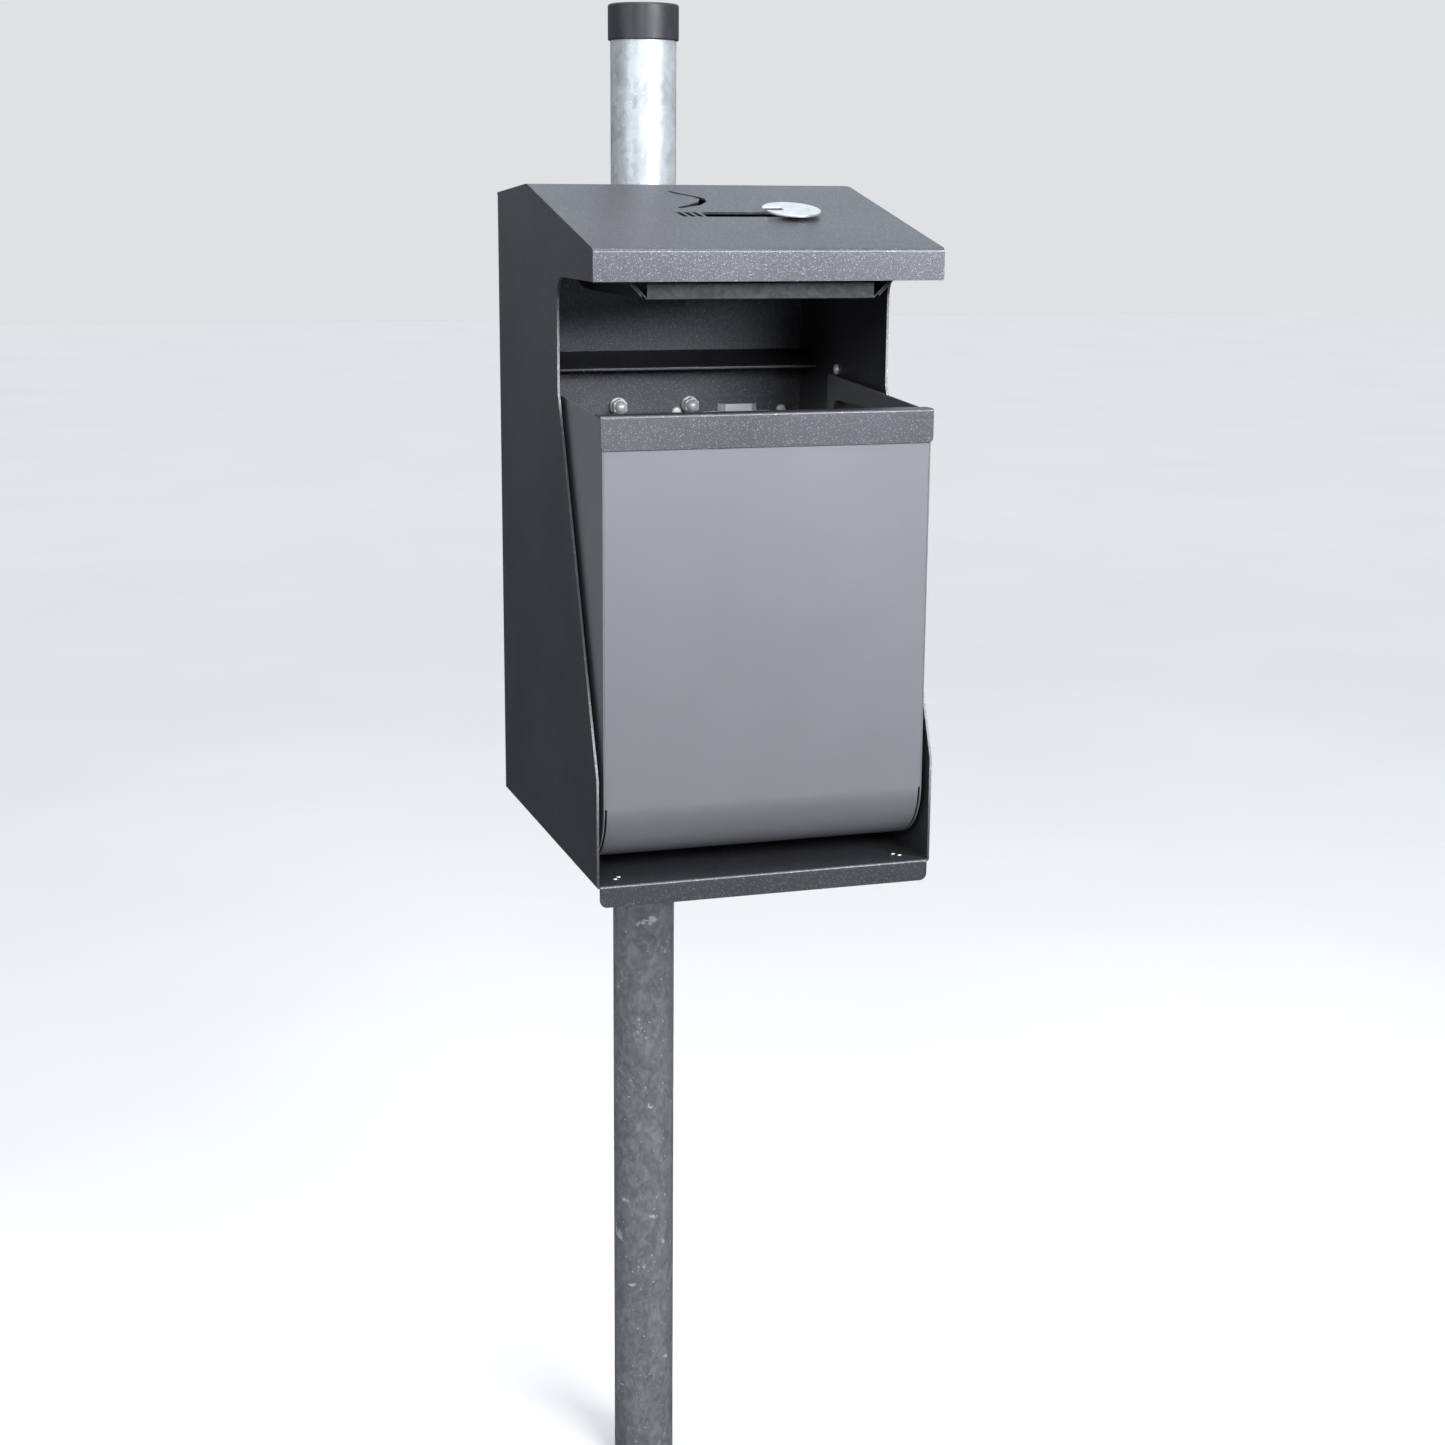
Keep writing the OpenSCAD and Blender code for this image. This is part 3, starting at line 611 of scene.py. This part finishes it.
class BIN_OT_finishes(bpy.types.Operator):
    """Mix the coats, zinc, metal and plastic"""

    bl_idname = "bin.finishes"
    bl_label = "Finishes"

    def execute(self, context):
        colours = context.scene.bin_colours
        make_dark_coat(colours)
        make_light_coat(colours)
        make_galvanised(colours)
        make_zinc_sheet(colours)
        make_bright_zinc(colours)
        make_disc_metal(colours)
        make_plastic("cap_plastic", colours.cap, 0.42)
        make_plastic("bush_plastic", shade(colours.cap, 1.3), 0.5)
        make_floor_finish(colours)
        return {"FINISHED"}


class BIN_OT_post(bpy.types.Operator):
    """Model the galvanised post with its moulded cap and ground rod"""

    bl_idname = "bin.post"
    bl_label = "Post and Cap"

    def execute(self, context):
        edged("post", "post_tube", "housing", "galvanised", 0.0004)
        edged("ground_rod", "ground_rod_bar", "housing", "galvanised", EDGE_SOFT)
        settle(self.cap(), "housing", "cap_plastic", "post_cap")
        return {"FINISHED"}

    def cap(self):
        """A cylinder hollowed over the post, its top rim rounded and its skirt edge softened."""
        radius = CAP_HIGH.x
        put_down()
        bpy.ops.mesh.primitive_cylinder_add(
            vertices=96, radius=radius, depth=CAP_HIGH.z - CAP_LOW.z,
            location=(0.0, 0.0, (CAP_HIGH.z + CAP_LOW.z) / 2))
        cap = named("post_cap_moulding")
        pick_faces(cap, lambda centre, normal: normal.z < -0.9)
        bpy.ops.mesh.inset(thickness=radius - POST_HIGH.x - 0.00005)
        bpy.ops.mesh.extrude_region_move(
            TRANSFORM_OT_translate={"value": (0.0, 0.0, POST_HIGH.z - CAP_LOW.z)})
        pick_edges(cap, lambda a, b: min(a.z, b.z) > CAP_HIGH.z - NEAR)
        bpy.ops.mesh.bevel(offset=0.0024, segments=6, affect="EDGES")
        pick_edges(cap, lambda a, b: max(a.z, b.z) < CAP_LOW.z + NEAR and self.outer(a) and self.outer(b))
        bpy.ops.mesh.bevel(offset=0.0012, segments=4, affect="EDGES")
        pick_faces(cap, lambda centre, normal: normal.z > 0.9999)
        bpy.ops.mesh.inset(thickness=0.004)
        bpy.ops.mesh.inset(thickness=0.001, depth=-0.0006)
        put_down()
        smooth(cap)
        return cap

    def outer(self, point):
        return point.xy.length > CAP_HIGH.x - NEAR


class BIN_OT_shell(bpy.types.Operator):
    """Fold the back, the sides and the floor of the housing"""

    bl_idname = "bin.shell"
    bl_label = "Housing Shell"

    def execute(self, context):
        sizes = context.scene.bin_sizes
        edged("back_panel", "back_sheet", "housing", "coated_dark", sizes.edge_break)
        for side in ("left", "right"):
            settle(self.side(side, sizes), "housing", "coated_dark", f"side_panel_{side}")
        settle(self.floor(sizes), "housing", "coated_dark", "floor_panel")
        edged("liner_rest", "liner_rest_strip", "housing", "coated_dark", EDGE_SOFT, 3)
        settle(self.tacks(), "housing", "zinc_bright")
        return {"FINISHED"}

    def tacks(self):
        """Small weld beads where the floor meets the flanges of the sides."""
        beads = []
        for side in (-1.0, 1.0):
            for inset, depth in ((0.0, 0.0), (0.004, 0.005)):
                put_down()
                bpy.ops.mesh.primitive_uv_sphere_add(
                    segments=16, ring_count=10, radius=0.0012,
                    location=(side * (TACK_X + inset), TACK_Y - depth, FLOOR_HIGH.z), scale=(1.5, 1.0, 0.6))
                bead = named("tack_bead")
                smooth(bead, 60)
                beads.append(bead)
        return join(beads, "floor_tack_welds")

    def side(self, side, sizes):
        """Side sheet with its foot flange and its rear corner rounded."""
        sheet = sheet_from(f"side_panel_{side}", f"side_sheet_{side}")
        fold_lengthways(sheet, (SIDE_HIGH.x, SIDE_LOW.z), sizes.bend_outside)
        fold_lengthways(sheet, (SIDE_HIGH.x - SHEET, SIDE_LOW.z + SHEET), sizes.bend_inside)

        def rear_corner(a, b):
            return all(abs(p.y - SIDE_HIGH.y) < NEAR and abs(abs(p.x) - SIDE_HIGH.x) < NEAR for p in (a, b))

        pick_edges(sheet, rear_corner)
        bpy.ops.mesh.bevel(offset=0.0016, segments=4, affect="EDGES")
        break_edges(sheet, sizes.edge_break)
        return sheet

    def floor(self, sizes):
        """Floor sheet with its down-turned front lip."""
        sheet = sheet_from("floor_panel", "floor_sheet")
        fold(sheet, (FLOOR_LOW.y, FLOOR_HIGH.z), sizes.bend_outside)
        fold(sheet, (FLOOR_LOW.y + SHEET, FLOOR_HIGH.z - SHEET), sizes.bend_inside)
        break_edges(sheet, sizes.edge_break)
        return sheet


class BIN_OT_roof(bpy.types.Operator):
    """Fold the roof sheet with its ridge, front lip and cut-outs"""

    bl_idname = "bin.roof"
    bl_label = "Roof"

    def execute(self, context):
        sizes = context.scene.bin_sizes
        roof = sheet_from("roof_panel", "roof_sheet")
        front_z = max(v.co.z for v in roof.data.vertices if abs(v.co.y - ROOF_LOW.y) < NEAR)
        inner_y = ROOF_LOW.y + SHEET
        inner_z = max(v.co.z for v in roof.data.vertices
                      if abs(v.co.y - inner_y) < NEAR and v.co.z < front_z)
        ridge_y = max(roof.data.vertices, key=lambda v: v.co.z).co.y
        fold(roof, (ROOF_LOW.y, front_z), sizes.bend_outside, steps=6)
        fold(roof, (inner_y, inner_z), sizes.bend_inside, steps=3)
        fold(roof, (ridge_y, ROOF_HIGH.z), 0.004, steps=4)
        break_edges(roof, sizes.edge_break)
        settle(roof, "housing", "coated_dark", "roof_panel")
        edged("rear_deflector", "deflector_strip", "housing", "coated_dark", 0.0008, 3)
        return {"FINISHED"}


class BIN_OT_stub_plate(bpy.types.Operator):
    """Turn the stub-out disc with its spacer and nut"""

    bl_idname = "bin.stub_plate"
    bl_label = "Stub-out Disc"

    def execute(self, context):
        edged("stub_disc", "stub_out_disc", "housing", "disc_metal", EDGE_BLOCK, 3)
        edged("stub_spacer", "stub_spacer_ring", "housing", "disc_metal", EDGE_SHEET)
        edged("stub_nut", "stub_hex_nut", "housing", "zinc_bright", EDGE_BLOCK)
        return {"FINISHED"}


class BIN_OT_ash_tray(bpy.types.Operator):
    """Fold the ash tray and its two hanging rails"""

    bl_idname = "bin.ash_tray"
    bl_label = "Ash Tray and Rails"

    def execute(self, context):
        tray = sheet_from("ash_tray", "ash_tray_pan")
        floor_edge = max(abs(v.co.x) for v in tray.data.vertices if v.co.z < TRAY_LOW.z + NEAR)
        fold_lengthways(tray, (floor_edge, TRAY_LOW.z), 0.0008)
        break_edges(tray, EDGE_SHEET)
        settle(tray, "ash_tray", "zinc_sheet", "ash_tray")
        for side in ("left", "right"):
            edged(f"tray_rail_{side}", f"tray_hanger_{side}", "housing", "zinc_sheet", EDGE_SHEET)
        return {"FINISHED"}


class BIN_OT_clamps(bpy.types.Operator):
    """Bend the two U-bolts round the post, cut their threads and seat the saddles"""

    bl_idname = "bin.clamps"
    bl_label = "Post Clamps"

    def execute(self, context):
        sizes = context.scene.bin_sizes
        for level, height in zip(("upper", "lower"), CLAMP_HEIGHTS):
            settle(self.u_bolt(level, height, sizes), "housing", "zinc_bright", f"{level}_u_bolt")
            edged(f"{level}_saddle", f"{level}_saddle_block", "housing", "galvanised", 0.0012, 3)
        return {"FINISHED"}

    def u_bolt(self, level, height, sizes):
        """A rod spun round the post, with threaded legs drawn out of both its ends."""
        put_down()
        bpy.ops.mesh.primitive_circle_add(
            vertices=24, radius=ROD_R, fill_type="NGON", location=(LEG_X, 0.0, height),
            rotation=(radians(90), 0.0, 0.0))
        bolt = named(f"{level}_u_bolt_rod")
        open_up(bolt, "FACE", everything=True)
        bpy.ops.mesh.spin(steps=40, angle=pi, center=(0.0, 0.0, height), axis=(0.0, 0.0, -1.0))
        for side in (1.0, -1.0):
            self.leg(bolt, side, height, sizes)
        open_up(bolt, "VERT", everything=True)
        bpy.ops.mesh.remove_doubles(threshold=0.000001)
        bpy.ops.mesh.normals_make_consistent(inside=False)
        put_down()
        smooth(bolt, 60)
        return bolt

    def leg(self, bolt, side, height, sizes):
        """Draws one leg forward from the bend, plain at first and then threaded."""
        middle = Vector((side * LEG_X, 0.0, height))
        shank = 0.010
        half = sizes.thread_pitch / 2
        pick_faces(bolt, lambda centre, normal: (centre - middle).length < 0.001 and abs(normal.y) > 0.9)
        bpy.ops.mesh.extrude_region_move(TRANSFORM_OT_translate={"value": (0.0, -shank, 0.0)})
        waist = 1.0 - sizes.thread_depth
        for turn in range(2 * sizes.thread_turns):
            share = waist if turn % 2 == 0 else 1.0 / waist
            bpy.ops.mesh.extrude_region_move(TRANSFORM_OT_translate={"value": (0.0, -half, 0.0)})
            end_y = -shank - half * (turn + 1)
            bpy.ops.transform.resize(value=(share, 1.0, share), center_override=(middle.x, end_y, height))
        rest = -BOLT_LOW.y - shank - half * 2 * sizes.thread_turns
        bpy.ops.mesh.extrude_region_move(TRANSFORM_OT_translate={"value": (0.0, -rest + 0.001, 0.0)})
        bpy.ops.mesh.extrude_region_move(TRANSFORM_OT_translate={"value": (0.0, -0.001, 0.0)})
        bpy.ops.transform.resize(value=(0.78, 1.0, 0.78), center_override=(middle.x, BOLT_LOW.y, height))
        bpy.ops.object.mode_set(mode="OBJECT")


class BIN_OT_clamp_hardware(bpy.types.Operator):
    """Turn the washers and the domed nuts on the clamp legs"""

    bl_idname = "bin.clamp_hardware"
    bl_label = "Washers and Nuts"

    def execute(self, context):
        places = [(x, z) for z in CLAMP_HEIGHTS for x in (-LEG_X, LEG_X)]
        washer = self.washer(places[0])
        nut = self.nut(places[0])
        washers = [washer]
        nuts = [nut]
        for place in places[1:]:
            offset = (place[0] - places[0][0], 0.0, place[1] - places[0][1])
            washers.append(copy_moved(washer, offset, "washer_copy"))
            nuts.append(copy_moved(nut, offset, "nut_copy"))
        settle(join(washers, "clamp_washer_set"), "housing", "zinc_bright", "clamp_washers")
        settle(join(nuts, "domed_nut_set"), "housing", "zinc_bright", "clamp_nuts")
        return {"FINISHED"}

    def washer(self, place):
        """A disc opened by bridging its two faces, its rims rounded."""
        put_down()
        bpy.ops.mesh.primitive_cylinder_add(
            vertices=48, radius=WASHER_R, depth=WASHER_HIGH.y - WASHER_LOW.y,
            location=(place[0], (WASHER_HIGH.y + WASHER_LOW.y) / 2, place[1]),
            rotation=(radians(90), 0.0, 0.0))
        washer = named("washer_first")
        pick_faces(washer, lambda centre, normal: abs(normal.y) > 0.9)
        bpy.ops.mesh.inset(thickness=WASHER_R - ROD_R - ROD_PLAY)
        bpy.ops.mesh.bridge_edge_loops()
        put_down()
        break_edges(washer, 0.0002)
        return washer

    def nut(self, place):
        """A hexagon with chamfered corners and a domed cap grown from its face."""
        foot_y = WASHER_LOW.y
        face_y = foot_y - NUT_DEPTH
        put_down()
        bpy.ops.mesh.primitive_cylinder_add(
            vertices=6, radius=NUT_ACROSS / 2 / cos(radians(30)), depth=NUT_DEPTH,
            location=(place[0], foot_y - NUT_DEPTH / 2, place[1]), rotation=(radians(90), 0.0, 0.0))
        hexagon = named("nut_first")
        break_edges(hexagon, 0.0006, steps=3, sharp=20)
        put_down()
        bpy.ops.mesh.primitive_uv_sphere_add(
            segments=40, ring_count=20, radius=DOME_R, rotation=(radians(90), 0.0, 0.0),
            location=(place[0], face_y + 0.0010, place[1]))
        dome = named("nut_dome")
        open_up(dome, "FACE", everything=True)
        bpy.ops.mesh.bisect(plane_co=(place[0], face_y + 0.0004, place[1]), plane_no=(0.0, 1.0, 0.0),
                            use_fill=True, clear_outer=True)
        bpy.ops.mesh.extrude_region_move(TRANSFORM_OT_translate={"value": (0.0, 0.0003, 0.0)})
        put_down()
        overshoot = min(v.co.y for v in dome.data.vertices) - NUT_LOW.y
        if overshoot < 0.0:
            open_up(dome, "VERT", everything=True)
            bpy.ops.transform.translate(value=(0.0, -overshoot, 0.0))
        put_down()
        smooth(dome, 60)
        return join([hexagon, dome], "nut_first")


class BIN_OT_bracket(bpy.types.Operator):
    """Model the strap inside the back with its cross-slotted screws and the two hole plugs"""

    bl_idname = "bin.bracket"
    bl_label = "Strap, Screws and Plugs"

    def execute(self, context):
        edged("back_bracket", "back_strap", "housing", "zinc_bright", EDGE_BLOCK, 3, sharp=25)
        height = (SCREW_LOW.z + SCREW_HIGH.z) / 2
        left_x = SCREW_LOW.x + SCREW_HEAD_R
        screw = self.pan_head("screw_first", (left_x, SCREW_LOW.y, height), SCREW_HEAD_R, 0.0026)
        self.cross_slot(screw, (left_x, SCREW_LOW.y, height))
        span = SCREW_HIGH.x - SCREW_LOW.x - 2 * SCREW_HEAD_R
        screws = [screw, copy_moved(screw, (span, 0.0, 0.0), "screw_copy")]
        settle(join(screws, "strap_screw_set"), "housing", "zinc_bright", "bracket_screws")
        height = (PLUG_LOW.z + PLUG_HIGH.z) / 2
        left_x = PLUG_LOW.x + PLUG_HEAD_R
        plug = self.pan_head("plug_first", (left_x, PLUG_LOW.y, height), PLUG_HEAD_R, 0.003)
        span = PLUG_HIGH.x - PLUG_LOW.x - 2 * PLUG_HEAD_R
        plugs = [plug, copy_moved(plug, (span, 0.0, 0.0), "plug_copy")]
        settle(join(plugs, "hole_plug_set"), "housing", "zinc_bright", "hole_plugs")
        return {"FINISHED"}

    def pan_head(self, name, front, radius, depth):
        """A low rounded head whose front stands at the given point, with a short shank behind."""
        put_down()
        bpy.ops.mesh.primitive_cylinder_add(
            vertices=40, radius=radius, depth=depth, location=(front[0], front[1] + depth / 2, front[2]),
            rotation=(radians(90), 0.0, 0.0))
        head = named(name)
        pick_faces(head, lambda centre, normal: normal.y > 0.9)
        bpy.ops.mesh.inset(thickness=radius * 0.5)
        bpy.ops.mesh.extrude_region_move(TRANSFORM_OT_translate={"value": (0.0, 0.0015, 0.0)})
        pick_edges(head, lambda a, b: max(a.y, b.y) < front[1] + NEAR / 2)
        bpy.ops.mesh.bevel(offset=depth * 0.82, segments=7, affect="EDGES")
        put_down()
        smooth(head, 60)
        return head

    def cross_slot(self, head, front):
        """Cuts a cross recess into the head."""
        arms = []
        for size in ((0.0042, 0.0012), (0.0012, 0.0042)):
            put_down()
            bpy.ops.mesh.primitive_cube_add(size=1.0, location=front, scale=(size[0], 0.0028, size[1]))
            arms.append(named("slot_arm"))
        for arm in arms:
            take(head)
            bpy.ops.object.modifier_add(type="BOOLEAN")
            cut = head.modifiers[-1]
            cut.operation = "DIFFERENCE"
            cut.object = arm
            bpy.ops.object.modifier_apply(modifier=cut.name)
            take(arm)
            bpy.ops.object.delete()
        smooth(head, 50)


class BIN_OT_liner_supports(bpy.types.Operator):
    """Model the cradles, the guide buttons and the trunnion bushes"""

    bl_idname = "bin.liner_supports"
    bl_label = "Liner Supports"

    def execute(self, context):
        for side in ("left", "right"):
            edged(f"cradle_{side}", f"cradle_plate_{side}", "housing", "coated_dark", EDGE_BLOCK, 3)
            edged(f"liner_bush_{side}", f"trunnion_bush_{side}", "liner_carrier", "bush_plastic", 0.0004, 3)
        edged("guide_buttons", "guide_button_set", "housing", "zinc_bright", EDGE_SHEET)
        return {"FINISHED"}


class BIN_OT_liner(bpy.types.Operator):
    """Roll the liner, weld on its cheeks and fold its trim"""

    bl_idname = "bin.liner"
    bl_label = "Liner and Trim"

    def execute(self, context):
        sizes = context.scene.bin_sizes
        edged("liner_wrap", "liner_rolled_sheet", "liner", "coated_light", EDGE_SHEET)
        for side in ("left", "right"):
            edged(f"liner_cheek_{side}", f"liner_cheek_sheet_{side}", "liner", "coated_light", EDGE_SHEET)
        edged("liner_back", "liner_back_sheet", "liner", "coated_light", EDGE_SHEET)
        edged("liner_pins", "trunnion_pin_set", "liner", "zinc_bright", EDGE_BLOCK, 3)
        settle(self.trim(sizes), "liner", "coated_dark", "liner_trim")
        return {"FINISHED"}

    def trim(self, sizes):
        """Band over the liner's front edge, rounded along its two folds."""
        band = sheet_from("liner_trim", "liner_trim_band")
        hook_y = TRIM_HIGH.y
        fold(band, (TRIM_LOW.y, TRIM_HIGH.z), 0.0022)
        fold(band, (hook_y, TRIM_HIGH.z), 0.002)
        break_edges(band, sizes.edge_break)
        return band


# ---- Studio ----


class BIN_OT_stage(bpy.types.Operator):
    """Lay the pale floor, hang the soft lights and stand the camera"""

    bl_idname = "bin.stage"
    bl_label = "Studio"

    def execute(self, context):
        studio = context.scene.bin_studio
        self.floor()
        self.camera(studio)
        self.light("key_light", (0.95, -2.45, 2.05), (0.0, -0.3, 1.15), (1.6, 1.3), studio.key_power,
                   (0.96, 0.975, 1.0))
        self.light("fill_light", (-1.0, -2.5, 1.95), (0.0, -0.3, 1.1), (0.6, 0.6), studio.fill_power,
                   (0.95, 0.97, 1.0))
        self.light("side_light", (-2.2, -1.2, 1.55), (0.0, -0.1, 1.3), (0.3, 1.2), studio.strip_power,
                   (0.97, 0.985, 1.0))
        self.light("top_light", (0.0, -0.5, 3.0), (0.0, -0.3, 1.2), (1.2, 1.0), studio.top_power,
                   (0.95, 0.98, 1.0))
        self.light("back_light", (0.5, 2.6, 2.6), (0.0, -0.2, 1.28), (2.6, 1.2), studio.back_power,
                   (0.72, 0.86, 1.0))
        self.room(context.scene, studio)
        context.scene.view_settings.view_transform = "Standard"
        return {"FINISHED"}

    def floor(self):
        put_down()
        bpy.ops.mesh.primitive_plane_add(size=40.0)
        floor = named("studio_floor")
        floor.data.materials.append(FINISHES["studio_floor"])
        floor.visible_glossy = False

    def camera(self, studio):
        put_down()
        bpy.ops.object.camera_add(location=studio.camera_place)
        camera = bpy.context.active_object
        camera.name = "bin_camera"
        camera.data.sensor_width = 36.0
        camera.data.lens = studio.lens
        stand = Matrix.Rotation(-studio.camera_turn, 3, "Z")
        tilt = Matrix.Rotation(pi / 2 - studio.camera_pitch, 3, "X")
        roll = Matrix.Rotation(studio.camera_roll, 3, "Z")
        camera.rotation_euler = (stand @ tilt @ roll).to_euler()
        bpy.context.scene.camera = camera

    def light(self, name, place, aim, size, power, colour):
        """One soft panel of light, turned to face its aim."""
        put_down()
        bpy.ops.object.light_add(type="AREA", location=place)
        lamp = bpy.context.active_object
        lamp.name = name
        lamp.rotation_euler = (Vector(aim) - Vector(place)).to_track_quat("-Z", "Y").to_euler()
        lamp.data.shape = "RECTANGLE"
        lamp.data.size = size[0]
        lamp.data.size_y = size[1]
        lamp.data.energy = power
        lamp.data.color = colour
        lamp.visible_camera = False

    def room(self, scene, studio):
        """Pale light from all round, strongest from the ceiling."""
        world = bpy.data.worlds.new("studio_room")
        world.use_nodes = True
        scene.world = world
        tree = world.node_tree
        place = tree.nodes.new("ShaderNodeTexCoord")
        split = tree.nodes.new("ShaderNodeSeparateXYZ")
        tree.links.new(place.outputs["Generated"], split.inputs["Vector"])
        rise = tree.nodes.new("ShaderNodeMapRange")
        rise.inputs["From Min"].default_value = -0.15
        rise.inputs["To Min"].default_value = studio.low_strength
        rise.inputs["To Max"].default_value = studio.ceiling_strength
        tree.links.new(split.outputs["Z"], rise.inputs["Value"])
        glow = tree.nodes["Background"]
        glow.inputs["Color"].default_value = (0.90, 0.95, 1.0, 1.0)
        tree.links.new(rise.outputs["Result"], glow.inputs["Strength"])
        backdrop = tree.nodes.new("ShaderNodeBackground")
        backdrop.inputs["Color"].default_value = (0.96, 0.98, 1.0, 1.0)
        backdrop.inputs["Strength"].default_value = studio.backdrop
        rays = tree.nodes.new("ShaderNodeLightPath")
        choose = tree.nodes.new("ShaderNodeMixShader")
        tree.links.new(rays.outputs["Is Camera Ray"], choose.inputs["Fac"])
        tree.links.new(glow.outputs["Background"], choose.inputs[1])
        tree.links.new(backdrop.outputs["Background"], choose.inputs[2])
        tree.links.new(choose.outputs["Shader"], tree.nodes["World Output"].inputs["Surface"])


STEPS = (
    BIN_OT_finishes,
    BIN_OT_post,
    BIN_OT_shell,
    BIN_OT_roof,
    BIN_OT_stub_plate,
    BIN_OT_ash_tray,
    BIN_OT_clamps,
    BIN_OT_clamp_hardware,
    BIN_OT_bracket,
    BIN_OT_liner_supports,
    BIN_OT_liner,
    BIN_OT_stage,
)


class BIN_PT_sidebar(bpy.types.Panel):
    """Lists the steps that build the bin"""

    bl_idname = "BIN_PT_sidebar"
    bl_label = "Litter Bin"
    bl_space_type = "VIEW_3D"
    bl_region_type = "UI"
    bl_category = "Litter Bin"

    def draw(self, context):
        column = self.layout.column(align=True)
        for step in STEPS:
            column.operator(step.bl_idname)


CLASSES = (BinSizes, BinColours, BinStudio, *STEPS, BIN_PT_sidebar)


def register():
    for each in CLASSES:
        bpy.utils.register_class(each)
    bpy.types.Scene.bin_sizes = PointerProperty(type=BinSizes)
    bpy.types.Scene.bin_colours = PointerProperty(type=BinColours)
    bpy.types.Scene.bin_studio = PointerProperty(type=BinStudio)


def unregister():
    del bpy.types.Scene.bin_studio
    del bpy.types.Scene.bin_colours
    del bpy.types.Scene.bin_sizes
    for each in reversed(CLASSES):
        bpy.utils.unregister_class(each)


def main():
    register()
    bpy.ops.bin.finishes()
    bpy.ops.bin.post()
    bpy.ops.bin.shell()
    bpy.ops.bin.roof()
    bpy.ops.bin.stub_plate()
    bpy.ops.bin.ash_tray()
    bpy.ops.bin.clamps()
    bpy.ops.bin.clamp_hardware()
    bpy.ops.bin.bracket()
    bpy.ops.bin.liner_supports()
    bpy.ops.bin.liner()
    bpy.ops.bin.stage()


if __name__ == "__main__":
    main()
